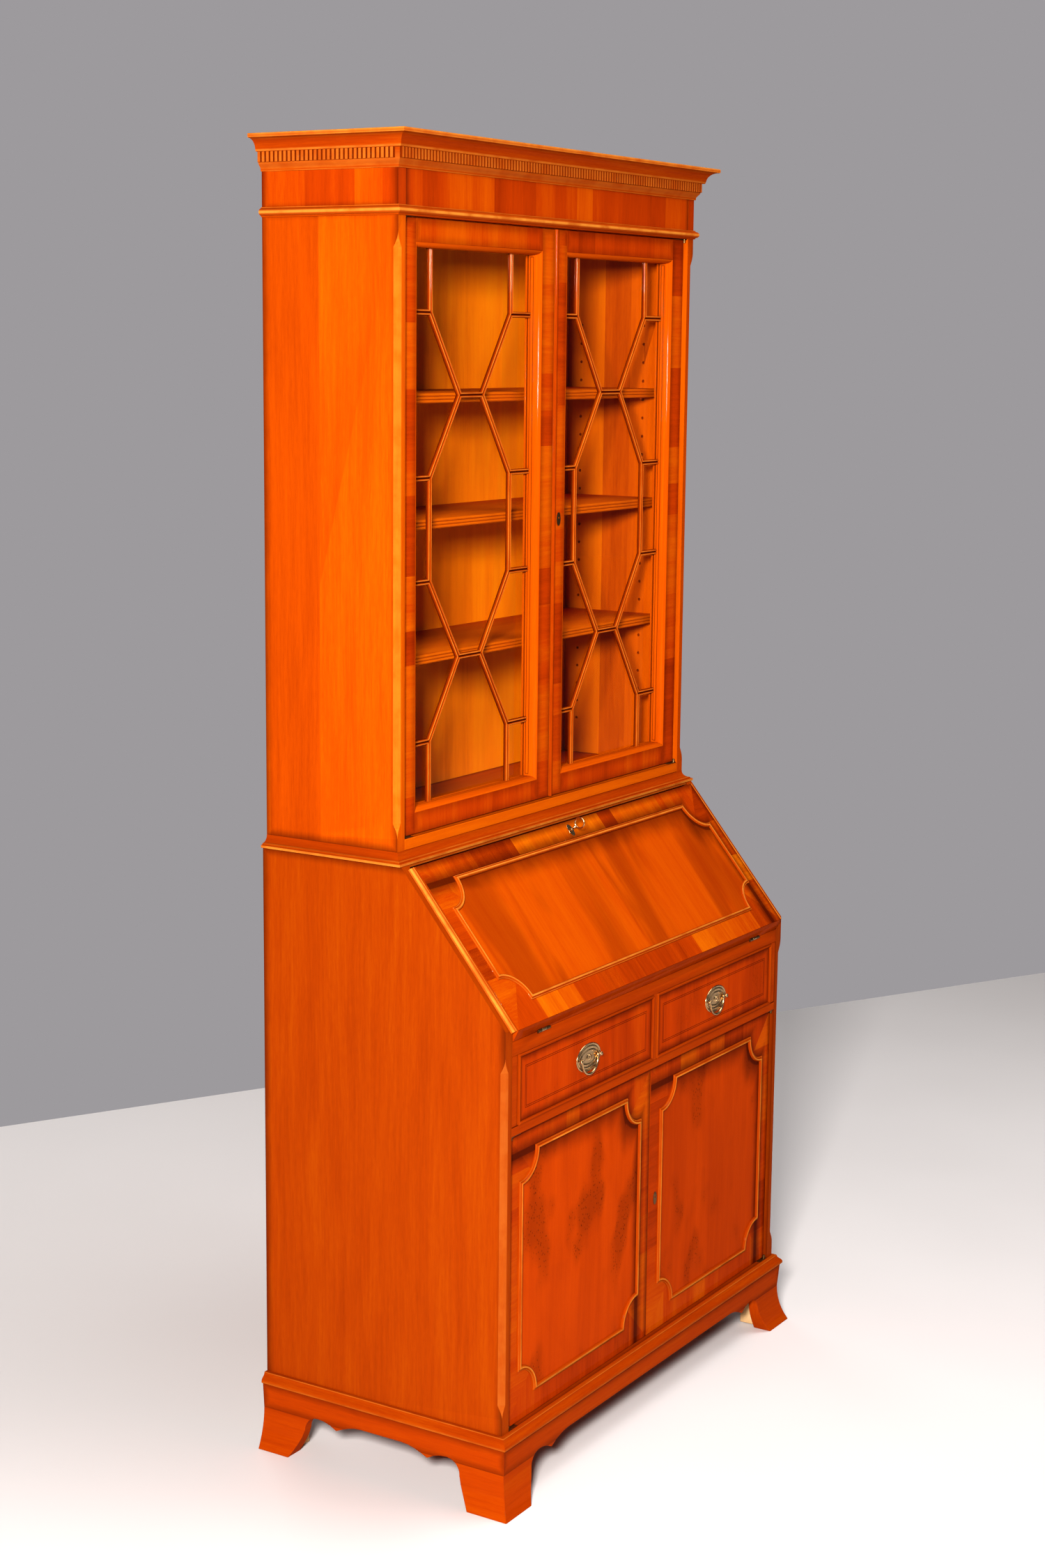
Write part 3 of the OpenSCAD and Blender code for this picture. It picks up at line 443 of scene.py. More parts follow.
GRAINS = {"x": X_AXIS, "y": Vector((0, 1, 0)), "z": Z_AXIS, "s": Vector((0, SC, SS))}


def face_frame(normal, grain):
    """(u, v) unit directions on a face: u is the grain laid into the face."""
    g = GRAINS[grain]
    u = g - normal * g.dot(normal)
    if u.length < 0.3:
        u = X_AXIS - normal * normal.x
        if u.length < 0.3:
            u = Z_AXIS - normal * normal.z
    u.normalize()
    return u, normal.cross(u).normalized()


def islands(bm):
    """The mesh's separate solids, each a list of faces."""
    bm.faces.ensure_lookup_table()
    seen, found = set(), []
    for first in bm.faces:
        if first.index in seen:
            continue
        island, stack = [], [first]
        seen.add(first.index)
        while stack:
            f = stack.pop()
            island.append(f)
            for f2 in (f2 for e in f.edges for f2 in e.link_faces):
                if f2.index not in seen:
                    seen.add(f2.index)
                    stack.append(f2)
        found.append(island)
    return found


def dress(node, body, slot, mats, grain="long", bevel=0.6, block=0.0, rim=True, pick=None,
          smooth=35, wear_and_painted_light=None, split=None):
    """Copies a CAD node's mesh, eases its edges and gives it grain, tone and edge data.

    grain is x, y, z, s (up the slope), long (each stick's own length) or cross. pick gives each
    solid its own (grain, leaf width, material, easing), or None to leave it out. split is
    (height, leaf width): faces above that height take the second material and those leaves,
    faces turned to the inside of the case take the third."""
    bm = bmesh.new()
    bm.from_mesh(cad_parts[node].data)
    bmesh.ops.remove_doubles(bm, verts=bm.verts, dist=1e-6)
    bmesh.ops.dissolve_limit(bm, angle_limit=math.radians(0.6), verts=bm.verts, edges=bm.edges)
    if split:
        bmesh.ops.bisect_plane(bm, geom=[*bm.verts, *bm.edges, *bm.faces], plane_co=(0, 0, split[0]),
                               plane_no=(0, 0, 1))
    uvl = bm.loops.layers.uv.new("grain")
    near_in, near_out, look = [bm.loops.layers.float_color.new(nm) for nm in LAYERS]
    soft = bm.edges.layers.float.new("bevel_weight_edge")
    dropped = []
    for island in islands(bm):
        co = [v.co for f in island for v in f.verts]
        lo = Vector([min(c[i] for c in co) for i in range(3)])
        hi = Vector([max(c[i] for c in co) for i in range(3)])
        d = hi - lo
        g, blk, mi, ease = grain, block, 0, 1.0
        if pick:
            got = pick(d)
            if got is None:
                dropped += island
                continue
            g, blk, mi, ease = got
        for e in {e for f in island for e in f.edges}:
            tiny = split and e.calc_length() < 0.003
            if len(e.link_faces) == 2 and e.calc_face_angle(0) > math.radians(35) and not tiny:
                e[soft] = ease
        if g in ("long", "cross"):
            order = sorted(range(3), key=lambda i: -d[i])
            g = "xyz"[order[0 if g == "long" else 1]]
        tone = rng.random()
        ou, ov = rng.random() * 3, rng.random() * 3
        for f in island:
            nrm = f.normal
            u, v = face_frame(nrm, g)
            pu = [l.vert.co.dot(u) for l in f.loops]
            pv = [l.vert.co.dot(v) for l in f.loops]
            cu, cv = (min(pu) + max(pu)) / 2, (min(pv) + max(pv)) / 2
            ku, kv = (max(pu) - min(pu)) / 2, (max(pv) - min(pv)) / 2
            above = split and f.calc_center_median().z > split[0]
            inner = split and nrm.x * hi.x < -0.9 * abs(hi.x)
            f.material_index = 2 if inner else 1 if above else mi
            for l, a, b in zip(f.loops, pu, pv):
                l[uvl].uv = (a + ou, b + ov)
                l[near_in] = NO_MOULDING
                l[near_out] = (a - cu, b - cv, ku, kv) if rim and not inner else NO_EDGE
                l[look] = (0, tone, wear_and_painted_light(nrm, f) if wear_and_painted_light else 0, split[1] if above else blk)
    bmesh.ops.delete(bm, geom=dropped, context="FACES")
    bmesh.ops.delete(bm, geom=[v for v in bm.verts if not v.link_faces], context="VERTS")
    me = bpy.data.meshes.new(node + "_v")
    bm.to_mesh(me)
    bm.free()
    finish_object(node + "_v", me, mats, body, slot, (node,), smooth, bevel)


def tile(pc, poly, normal, thick, grain, ein, eout, look, mat):
    """A thin closed leaf of veneer standing on poly, its face towards normal."""
    normal = Vector(normal).normalized()
    g = Vector(grain).normalized()
    a = g.cross(normal)
    ou, ov = 1 + rng.random() * 3, 1 + rng.random() * 3
    top = [pc.vert(Vector(q) + normal * thick) for q in poly]
    bot = [pc.vert(q) for q in poly]
    uv = [(Vector(q).dot(g) / 1000 + ou, Vector(q).dot(a) / 1000 + ov) for q in poly]
    k = len(poly)
    pc.face(top, uv, look, ein=ein, eout=eout, mat=mat)
    pc.face(bot[::-1], uv[::-1], look, mat=mat)
    for i in range(k):
        j = (i + 1) % k
        pc.face([top[i], bot[i], bot[j], top[j]], [uv[i], uv[i], uv[j], uv[j]], look, mat=mat)


def run(pc, rings, wear_and_light_list, closed=False, look=PLAIN):
    """Skins a profile along stations: rings is a list of stations, each a list of points."""
    m, k = len(rings), len(rings[0])
    ids = [[pc.vert(q) for q in r] for r in rings]
    along = [0.0]
    for i in range(1, m + (1 if closed else 0)):
        along.append(along[-1] + (Vector(rings[i % m][0]) - Vector(rings[i - 1][0])).length / 1000)
    across = [0.0]
    for j in range(1, k + 1):
        across.append(across[-1] + (Vector(rings[0][j % k]) - Vector(rings[0][j - 1])).length / 1000)
    ou, ov = rng.random() * 3, rng.random() * 3
    for i in range(m if closed else m - 1):
        i2 = (i + 1) % m
        for j in range(k):
            j2 = (j + 1) % k
            uv = [(along[i] + ou, across[j] + ov), (along[i + 1] + ou, across[j] + ov),
                  (along[i + 1] + ou, across[j + 1] + ov), (along[i] + ou, across[j + 1] + ov)]
            pc.face([ids[i][j], ids[i2][j], ids[i2][j2], ids[i][j2]], uv, look,
                    [wear_and_light_list[j], wear_and_light_list[j], wear_and_light_list[j2], wear_and_light_list[j2]])
    if not closed:
        uv = [(ou, across[j] + ov) for j in range(k)]
        pc.face(ids[0][::-1], uv[::-1], look)
        pc.face(ids[-1], uv, look)


def three_runs(node, prof, hw, yf):
    """A mitred moulding round the front and both sides. prof: (overhang, height, wear and painted light)."""
    pc = Piece(node + "_v", "cabinet", "moulding_wood", ["moulding_wood"], (node,), smooth=40)
    w = [q[2] for q in prof]
    front_tone, *side_tones = [rng.random() for _ in range(3)]

    def corner(q, side):
        return (side * (hw + q[0]), yf - q[0], q[1])

    run(pc, [[corner(q, -1) for q in prof], [corner(q, 1) for q in prof]], w, look=(0, front_tone, 0, 0))
    for side, tone in zip((-1, 1), side_tones):
        ring0 = [corner(q, side) for q in prof]
        ring1 = [(side * (hw + q[0]), CASE_D, q[1]) for q in prof]
        run(pc, [ring0, ring1], w, look=(0, tone, 0, 0))
    pc.build()


# ---------------------------------------------------------------- plain boards from the CAD
def sight_pick(d):
    """The thin sticks round the glass are the sight moulding; the rest is crossbanded frame."""
    if min(d) < 0.0125 and sorted(d)[1] < 0.024:
        return "long", 0.0, 1, 1.0
    return "cross", 0.085, 0, 1.0


def drawer_pick(d):
    """The board of a drawer front, with an upright grain; everything thinner is cock bead."""
    return ("z", 0.0, 0, 0.2) if d[0] > 0.1 and d[2] > 0.05 else ("long", 0.0, 1, 1.0)


def chamfer_highlight(nrm, f):
    """The chamfered front corners, picked by the way their faces turn, take a painted highlight."""
    return 0.5 if abs(nrm.x) > 0.3 and abs(nrm.y) > 0.3 else 0.0


def tooth_highlight_and_shade(nrm, f):
    """Teeth stand at the full overhang of 11.6 mm; their fronts take a painted highlight, their reveals and
    the gaps painted shade.
    """
    c = f.calc_center_median()
    out = max(abs(c.x) * 1000 - UP_HW, UP_Y - MID_Y - c.y * 1000)
    if out > 11.2 and f.calc_area() < 0.001:
        return 0.40
    return -0.55 if out > 8.0 else -0.3


B = "cabinet"
dress("upper_bottom_board", B, "inner_wood", ["inner_veneer"], "x", 1.0)
dress("upper_top_board", B, "secondary_wood", ["secondary_wood"], "x", 0.8, block=0.11)
dress("upper_back_panel", B, "back_veneer", ["back_veneer"], "z", 0.4, block=0.19)
dress("lower_back_panel", B, "back_veneer", ["back_veneer"], "z", 0.4, block=0.16)
dress("lower_bottom_board", B, "secondary_wood", ["rail_wood"], "x", 0.8)
dress("lower_top_board", B, "secondary_wood", ["secondary_wood"], "x", 0.8)
dress("dust_board", B, "secondary_wood", ["secondary_wood"], "long", 0.4)
dress("writing_bed", B, "inner_wood", ["rail_wood"], "x", 0.6)
dress("front_rails", B, "moulding_wood", ["rail_wood"], "long", 0.8)
dress("cupboard_shelf", B, "inner_wood", ["inner_wood"], "long", 1.0)
dress("pigeonhole_boards", B, "inner_wood", ["inner_wood"], "long", 0.8)
dress("foot_blocks", B, "secondary_wood", ["secondary_wood"], "z", 1.0)
dress("bookcase_shelves", B, "inner_wood", ["inner_veneer"], "x", 0.0, rim=False, smooth=50)
dress("shelf_pins", B, "brass", ["bright_brass"], "x", 0.25)
dress("door_catches", B, "catch_plastic", ["catch_plastic"], "x", 1.2)
dress("hinge_plates", B, "brass", ["dark_brass"], "x", 0.15)
for side in ("left", "right"):
    metal = "_hinges" if side == "left" else "_brassware"
    drawer, small, loper = "drawer_" + side, "small_drawer_" + side, "loper_" + side
    upper, lower = "upper_door_" + side, "lower_door_" + side
    dress("plinth_side_" + side, B, "side_veneer", ["rail_wood"], "y", 1.0, smooth=40)
    dress("upper_side_" + side, B, "side_veneer", ["side_veneer", "frieze_veneer", "inner_veneer"],
          "z", 0.7, block=0.07, wear_and_painted_light=chamfer_highlight, split=(FRIEZE_Z / 1000, 0.082))
    dress("lower_side_" + side, B, "side_veneer", ["lower_side_shaded_veneer"], "z", 0.7, wear_and_painted_light=chamfer_highlight)
    dress(loper, loper, "inner_wood", ["rail_wood"], "y", 1.0)
    dress(small, small, "inner_wood", ["inner_wood"], "long", 0.7)
    dress(drawer + "_box", drawer, "secondary_wood", ["secondary_wood"], "long", 0.8)
    dress(upper + "_frame", upper, "front_veneer", ["border_veneer", "sight_wood"], bevel=0.5,
          pick=sight_pick, smooth=50)
    dress(upper + "_glass", upper, "glass", ["clear_glass"], "z", 0.2)
    dress(drawer + "_front", drawer, "front_veneer", ["string_veneer", "moulding_wood"], bevel=1.5,
          pick=drawer_pick, smooth=50)
    dress(upper + metal, upper, "brass", ["dark_brass"], "x", 0.2)
    dress(lower + metal, lower, "brass", ["dark_brass"], "x", 0.2)
dress("plinth_front", B, "moulding_wood", ["rail_wood"], "x", 1.0, smooth=40)
dress("frieze_board", B, "moulding_wood", ["frieze_veneer"], "z", 0.5, block=0.082)
dress("dentil_band", B, "moulding_wood", ["moulding_wood"], "z", 0.25, rim=False, wear_and_painted_light=tooth_highlight_and_shade)
dress("upper_door_right_bead", "upper_door_right", "moulding_wood", ["moulding_wood"], "z", 0.0, rim=False)
dress("fall_brassware", "fall", "brass", ["aged_brass"], "x", 0.2)

# ---------------------------------------------------------------- mitred mouldings
# in each profile point the last value lightens crests with rubbed wear and a painted highlight, and darkens
# hollows with painted shade
z = FRIEZE_BEAD_Z
bead = [(0, z + 15, -.6), (0, z + .3, -.7), (2.3, z + .3, 0), (2.5, z + 2.2, -.7)]
bead += [(2.5 + 5.4 * sind(a), z + 7.7 - 5.2 * cosd(a), 0.9 if 60 < a < 120 else 0.1)
         for a in range(15, 170, 15)]
bead += [(2.5, z + 13.2, -.8), (2.4, z + 14.8, 0.5)]
three_runs("frieze_bead", bead, UP_HW, UP_Y)

z = CORNICE_Z
cornice = [(0, TOP_Z - 0.2, 0), (0, z + .2, -.6), (2.2, z + .2, 0.4), (2.4, z + 2.8, -.7)]
cornice += [(2.4 + 5.6 * (0.5 - 0.5 * cosd(a)), z + 3 + 10 * a / 180, 0.25) for a in range(20, 181, 20)]
cornice += [(8, z + 27.8, -.8), (13.6, z + 28.1, 0.2), (14.2, z + 29.8, 0.6)]
cornice += [(31 - 16.2 * cosd(a), z + 30 + 16.6 * sind(a), 0.0 if a < 60 else 0.15) for a in range(8, 91, 8)]
cornice += [(31.4, z + 46.8, -.6), (32.8, z + 47.2, 0.7), (33, z + 49.5, 0.3), (32.8, z + 52.6, 1.0),
            (32, TOP_Z, 0.4)]
three_runs("cornice_moulding", cornice, UP_HW, UP_Y)

z, top = WAIST_Z, 999.9
waist = [(-8, top, 0), (-8, z, 0), (14.2, z, 0.2), (15, z + .8, 0.9), (15, z + 3.9, 0.6),
         (14.3, z + 4.6, 0.0), (11.6, z + 5, -.8), (11.4, z + 6.4, -.9)]
waist += [(10.6 * (1 - sind(a)), z + 7 + 12.4 * (1 - cosd(a)), 0.35 if a < 20 else 0.0)
          for a in range(0, 90, 10)]
waist += [(0.2, top, -.8)]
three_runs("waist_moulding", waist, UP_HW, UP_Y)

# the narrow strip under the waist moulding: (y, z, wear and painted light), between the lower sides; painted
# shade in its crease
STRIP_Y, STRIP_HW = 191 - 0.1, LOW_IN - 1.9
strip = [(STRIP_Y, z - .1, 0), (STRIP_Y, z - 4.3, 0), (187.4, z - 4.35, -.6), (186.4, z - 3.7, .2),
         (186.05, z - 2.6, .5), (186.05, z - .1, -.2)]
pc = Piece("waist_strip", "cabinet", "moulding_wood", ["moulding_wood"], smooth=40)
run(pc, [[(x, y, z) for y, z, w in strip] for x in (-STRIP_HW, STRIP_HW)], [w for y, z, w in strip])
pc.build()

base = [(0, 124.9, -.5), (0, 108, 0), (12, 108, -.6), (14.8, 108.6, 0.2), (15.3, 109.6, 0.4),
        (15.2, 111.6, 0.1)]
base += [(15.2 - 3.85 * (1 - cosd(a)), 112 + 11.4 * a / 180, -.3 if a > 120 else 0.0)
         for a in range(20, 181, 20)]
base += [(7.5, 124.2, 0.5), (6.8, 125, 0.1)]
three_runs("base_moulding", base, LOW_HW, 0.0)

# ---------------------------------------------------------------- glazing bars
# half profile of a bar, (across, height, wear and painted light), from its edge to the groove along the
# middle; painted highlight on the crest, painted shade at its foot and in the groove
HALF_BAR = [(4.5, 0, -.8), (4.5, 2.4, -.6), (4.0, 4.6, -.1), (3.0, 5.8, .9), (1.9, 5.6, .2),
            (1.0, 4.6, -.3), (0.35, 3.2, -1)]
BAR_PROFILE = [(-t, h, w) for t, h, w in HALF_BAR] + HALF_BAR[::-1]
BAR_END = 9.0       # a bar is made this much too long at both ends, then cut back
BAR_X, TIP_X = 112.0, 31.0
MEET_Z, TIP_Z, TOP_MEET_Z = 78.0, 200.0, 322.5


def bar_lines(hw, hh):
    """Centre lines of the bars, ((x, z), (x, z)), about the middle of the glass."""
    lines = []
    for i in (-1, 1):
        x = i * BAR_X
        lines.append(((x, -MEET_Z), (x, MEET_Z)))
        for j in (-1, 1):
            low, tip, top = (x, j * MEET_Z), (i * TIP_X, j * TIP_Z), (x, j * TOP_MEET_Z)
            lines += [(low, (i * hw, j * MEET_Z)), (low, tip), (tip, top),
                      (top, (i * hw, j * TOP_MEET_Z)), (top, (x, j * hh))]
    return lines + [((-TIP_X, j * TIP_Z), (TIP_X, j * TIP_Z)) for j in (-1, 1)]


def bar_solid(p0, p1):
    """One bar with square ends, in its own mesh: x across the door, y out of it, z up."""
    d = (p1 - p0).normalized()
    q = Vector((-d.y, d.x))
    bm = bmesh.new()
    wear_and_painted_light = bm.verts.layers.float.new("wear_and_painted_light")
    grain = bm.verts.layers.float_vector.new("grain")
    tone, off = rng.random(), rng.random() * 3
    ends = []
    for e in (p0 - d * BAR_END, p1 + d * BAR_END):
        ring = []
        for t, h, w in BAR_PROFILE:
            c = e + q * t
            vert = bm.verts.new((c.x, h, c.y))
            vert[wear_and_painted_light] = w
            vert[grain] = (c.dot(d) / 1000 + off, t / 1000 + off, 0)
            ring.append(vert)
        ends.append(ring)
    k = len(BAR_PROFILE)
    for j in range(k):
        bm.faces.new((ends[0][j], ends[0][(j + 1) % k], ends[1][(j + 1) % k], ends[1][j]))
    bm.faces.new(ends[0][::-1])
    bm.faces.new(ends[1])
    return bm, wear_and_painted_light, grain, tone


def mitre(bm, joint, dirn, lines):
    """Cuts the end of a bar that leaves joint along dirn halfway to each of its neighbours."""
    cuts = []
    for ends in lines:
        o0, o1 = Vector(ends[0]), Vector(ends[1])
        if (o0 - joint).length >= 1 and (o1 - joint).length >= 1:
            continue
        od = (o1 - o0).normalized() if (o0 - joint).length < 1 else (o0 - o1).normalized()
        if (od - dirn).length > 0.05 and (od + dirn).length > 0.05:
            cuts.append((dirn - od).normalized())
    for c in cuts or [dirn]:
        got = bmesh.ops.bisect_plane(bm, geom=[*bm.verts, *bm.edges, *bm.faces], clear_inner=True,
                                     plane_co=(joint.x, 0, joint.y), plane_no=(c.x, 0, c.y))
        edges = [g for g in got["geom_cut"] if isinstance(g, bmesh.types.BMEdge)]
        bmesh.ops.holes_fill(bm, edges=edges, sides=0)


def bar_lattice(side, s):
    """Each bar is a double bead with a fine groove, cut where it meets its neighbours."""
    cx, cz = (SIGHT_X0 + SIGHT_X1) / 2, (SIGHT_Z0 + SIGHT_Z1) / 2
    lines = bar_lines((SIGHT_X1 - SIGHT_X0) / 2 - 6.2, (SIGHT_Z1 - SIGHT_Z0) / 2 - 6.2)
    whole = bmesh.new()
    uvl = whole.loops.layers.uv.new("grain")
    near_in, near_out, look = [whole.loops.layers.float_color.new(nm) for nm in LAYERS]
    for ends in lines:
        p0, p1 = Vector(ends[0]), Vector(ends[1])
        d = (p1 - p0).normalized()
        bm, wear_and_painted_light, grain, tone = bar_solid(p0, p1)
        mitre(bm, p0, d, lines)
        mitre(bm, p1, -d, lines)
        bmesh.ops.recalc_face_normals(bm, faces=bm.faces)
        made = {v: whole.verts.new(at((s * (cx + v.co.x), GLASS_Y - v.co.y, cz + v.co.z)))
                for v in bm.verts}
        for f in bm.faces:
            verts = list(f.verts)[::s]
            for l, v in zip(whole.faces.new([made[v] for v in verts]).loops, verts):
                l[uvl].uv = v[grain][:2]
                l[near_in], l[near_out] = NO_MOULDING, NO_EDGE
                l[look] = (0, tone, v[wear_and_painted_light], 0)
        bm.free()
    bmesh.ops.recalc_face_normals(whole, faces=whole.faces)
    name = "upper_door_%s_bars" % side
    me = bpy.data.meshes.new(name + "_v")
    whole.to_mesh(me)
    whole.free()
    finish_object(name + "_v", me, ["moulding_wood"], "upper_door_" + side, "moulding_wood", (name,), 32)


bar_lattice("left", -1)
bar_lattice("right", 1)


# ---------------------------------------------------------------- veneered panels with applied mouldings
LEAF, FIELD_LEAF = 0.3, 0.5     # thickness of the leaves of the border and of the field
WIDE = 50.0                     # leaf width, in metres, that keeps one leaf in one piece


def notched(hw, hh, r, b, n=14):
    """Outline b mm outside the panel moulding's centre line, its corners bitten by circles."""
    rr = r - b
    t0 = math.degrees(math.asin(b / rr))
    pts = []
    for i, (sx, sz) in enumerate(((1, 1), (-1, 1), (-1, -1), (1, -1))):
        ang = [-t0 + (90 + 2 * t0) * k / n for k in range(n + 1)]
        for q in (ang if i % 2 == 0 else ang[::-1]):
            pts.append((sx * (hw - rr * sind(q)), sz * (hh - rr * cosd(q))))
    return pts


def band(pc, place, notch, prof):
    """Sweeps prof, a list of (b, height, wear and painted light), round the notched outline."""
    look = (0, rng.random(), 0, 0)
    outs = [notched(*notch, q[0]) for q in prof]
    rings = [[place(o[i][0], o[i][1], q[1]) for q, o in zip(prof, outs)] for i in range(len(outs[0]))]
    run(pc, rings, [q[2] for q in prof], closed=True, look=look)


# the applied panel bead: painted highlight on its crests, painted shade at its feet and in its groove
PANEL_BEAD = [(-3.9, 0, -1), (-3.8, 1.6, -1), (-3.1, 3.3, -.35), (-1.9, 4.6, .5), (-0.8, 4.9, 1.),
              (0.2, 4.5, .5), (0.9, 3.5, -.4), (1.4, 2.4, -1), (1.9, 2.0, -1), (2.3, 2.3, -.3),
              (2.8, 2.7, .7), (3.3, 2.4, .2), (3.8, 1.2, -.9), (4.0, 0, -1)]


def leaf_edges(half, widths):
    """Where the leaves along one side of a border begin and end."""
    edges, x = [-half], widths[0] - half
    while x < half - widths[0] * 0.8:
        edges.append(x)
        x += widths[(len(edges) - 1) % len(widths)]
    return edges + [half]


def leaf_outline(lo, hi, half, cut, depth):
    """Outline of one leaf, (along, in from the edge), its ends following the mitres."""
    pts = [(lo, 0.0), (hi, 0.0)]
    for t in (hi, half - cut, cut - half, lo):
        if lo <= t <= hi:
            pts.append((t, depth * min(1.0, (half - abs(t)) / cut)))
    return pts


def without_repeats(outline):
    out = []
    for p in outline:
        if not any(abs(p[0] - o[0]) + abs(p[1] - o[1]) < 0.01 for o in out):
            out.append(p)
    return out


def panel(pc, place, normal, up, half, notch, notch_up, widths):
    """A border of veneer leaves, mitred at the corners and with the grain running inwards, round
    a field of one leaf. place(x, z, height) is the panel's own plane, half its half sizes;
    the moulding lies with its middle notch_up above the middle of the panel."""
    (hx, hz), (hw, hh, r) = half, notch

    def lay(q, grain, thick, mat):
        tone = rng.random()
        ein = [(x / 1000, (z - notch_up) / 1000, hw / 1000, hh / 1000) for x, z in q]
        eout = [(x / 1000, z / 1000, hx / 1000, hz / 1000) for x, z in q]
        pts = [place(x, z, 0) for x, z in q]
        tile(pc, pts, normal, thick, grain, ein, eout, (r / 1000, tone, 0, WIDE), mat)

    bx, bz = hx - hw + r * 0.9, hz - hh + r * 0.9
    for s in (-1, 1):
        edges = leaf_edges(hx, widths)
        for a, b in zip(edges, edges[1:]):
            q = [(t, s * (hz - w)) for t, w in leaf_outline(a, b, hx, bx, bz)]
            lay(without_repeats(q), up, LEAF, 0)
        edges = leaf_edges(hz, [w * 1.25 for w in widths[::-1]])
        for a, b in zip(edges, edges[1:]):
            q = [(s * (hx - w), t) for t, w in leaf_outline(a, b, hz, bz, bx)]
            lay(without_repeats(q), X_AXIS, LEAF, 0)
    lay([(x, z + notch_up) for x, z in notched(hw, hh, r, 0.0)], up, FIELD_LEAF, 1)


def front_place(cx, y, cz):
    def place(x, z, h):
        return Vector((cx + x, y - h, cz + z))
    return place


for side, s in (("left", -1), ("right", 1)):
    body = "lower_door_" + side
    cx, cz = (LOW_DOOR_X0 + LOW_DOOR_X1) / 2, (LOW_DOOR_Z0 + LOW_DOOR_Z1) / 2
    half = (LOW_DOOR_X1 - LOW_DOOR_X0) / 2 - .4, (LOW_DOOR_Z1 - LOW_DOOR_Z0) / 2 - .4
    dress(body + "_panel", body, "front_veneer", ["rail_wood"], "z", 0.5)
    pc = Piece(body + "_veneer", body, "front_veneer", ["border_veneer", "burr_veneer"])
    panel(pc, front_place(s * cx, LOW_DOOR_Y - 0.02, cz), (0, -1, 0), Z_AXIS, half, DOOR_NOTCH,
          DOOR_NOTCH_UP, [58, 44, 66, 39, 52, 71, 48])
    pc.build()
    pc = Piece(body + "_moulding_v", body, "moulding_wood", ["moulding_wood"], (body + "_moulding",),
               smooth=40)
    band(pc, front_place(s * cx, LOW_DOOR_Y - 0.1, cz + DOOR_NOTCH_UP), DOOR_NOTCH, PANEL_BEAD)
    pc.build()

# ---------------------------------------------------------------- fall front
T, N = Vector((0, SC, SS)), Vector((0, -SS, SC))
MID_S = (FALL_TOP - FALL_LIP) / 2


def fall_pick(d):
    """Leaves out the two lips at the ends, which are made below."""
    return None if d[0] < 0.02 else ("s", 0.0, 0, 1.0)


def fall_place(x, z, h):
    return slope(x, MID_S + z, FALL_OUT + 0.02 + h)


def fall_moulding_place(x, z, h):
    return slope(x, FALL_NOTCH_S + z, FALL_OUT + 0.1 + h * 0.8)


dress("fall_panel", "fall", "front_veneer", ["rail_wood"], "s", 0.5, pick=fall_pick)
# the fall's lips, (x, height out of the face, wear and painted light): painted highlight on the bead and the
# ovolo, painted shade in the grooves
lip = [(434.55, 0.4, 0), (434.55, 5.2, -.8), (435.4, 5.3, -.9), (436.0, 5.0, -.9), (436.2, 6.3, .3),
       (437.0, 6.9, .9), (437.9, 6.9, .9), (438.5, 6.3, .2), (438.7, 5.5, -.7)]
lip += [(438.9 + 6.0 * sind(a), 0.9 + 5.0 * cosd(a), 1.0 if 25 < a < 65 else 0.35)
        for a in range(0, 91, 10)]
lip += [(444.95, 0.4, -.3)]
pc = Piece("fall_lips", "fall", "front_veneer", ["moulding_wood"], smooth=40)
for s in (-1, 1):
    run(pc, [[slope(s * x, t, h) for x, h, w in lip] for t in (-4.9, FALL_TOP - 0.1)],
        [w for x, h, w in lip], look=(0, rng.random(), 0, 0))
pc.build()
pc = Piece("fall_veneer", "fall", "front_veneer", ["bold_veneer", "field_veneer"])
panel(pc, fall_place, N, T, (FALL_HW - .5, (FALL_TOP + FALL_LIP) / 2 - .6), FALL_NOTCH,
      FALL_NOTCH_S - MID_S, [84, 61, 47, 72, 55, 66, 90, 58, 43, 69])
pc.build()
pc = Piece("fall_moulding_v", "fall", "moulding_wood", ["moulding_wood"], ("fall_moulding",), smooth=40)
band(pc, fall_moulding_place, FALL_NOTCH, [(b * 1.05, h, w) for b, h, w in PANEL_BEAD])
pc.build()


# ---------------------------------------------------------------- brassware
def turns(n):
    """n angles round a full turn, in radians."""
    return [2 * math.pi * i / n for i in range(n)]


def lathe(pc, origin, axis, prof, n=24):
    """Turns prof, (radius, height, wear), about an axis; a pinhole is left in the middle."""
    axis = Vector(axis).normalized()
    u = axis.orthogonal() if abs(axis.x) > 0.5 else X_AXIS - axis * axis.x
    u.normalize()
    v = axis.cross(u)
    rings = []
    for a in turns(n):
        e = u * math.cos(a) + v * math.sin(a)
        rings.append([Vector(origin) + e * r + axis * h for r, h, w in prof])
    run(pc, rings, [w for r, h, w in prof], closed=True)


def tube(pc, path, radii, closed=False, n=12):
    """A round rod along a path lying in one plane."""
    k = len(path)
    pts = [Vector(q) for q in path]
    nrm = (pts[1] - pts[0]).cross(pts[2] - pts[1]).normalized()
    rings = []
    for i in range(k):
        a = pts[(i - 1) % k] if closed or i else pts[0]
        b = pts[(i + 1) % k] if closed or i < k - 1 else pts[-1]
        e = (b - a).normalized().cross(nrm).normalized()
        rings.append([pts[i] + radii[i] * (nrm * math.cos(t) + e * math.sin(t)) for t in turns(n)])
    run(pc, rings, [0.0] * n, closed=closed)


DRAWER_Y, PIVOT_H = 1.5, 4.0
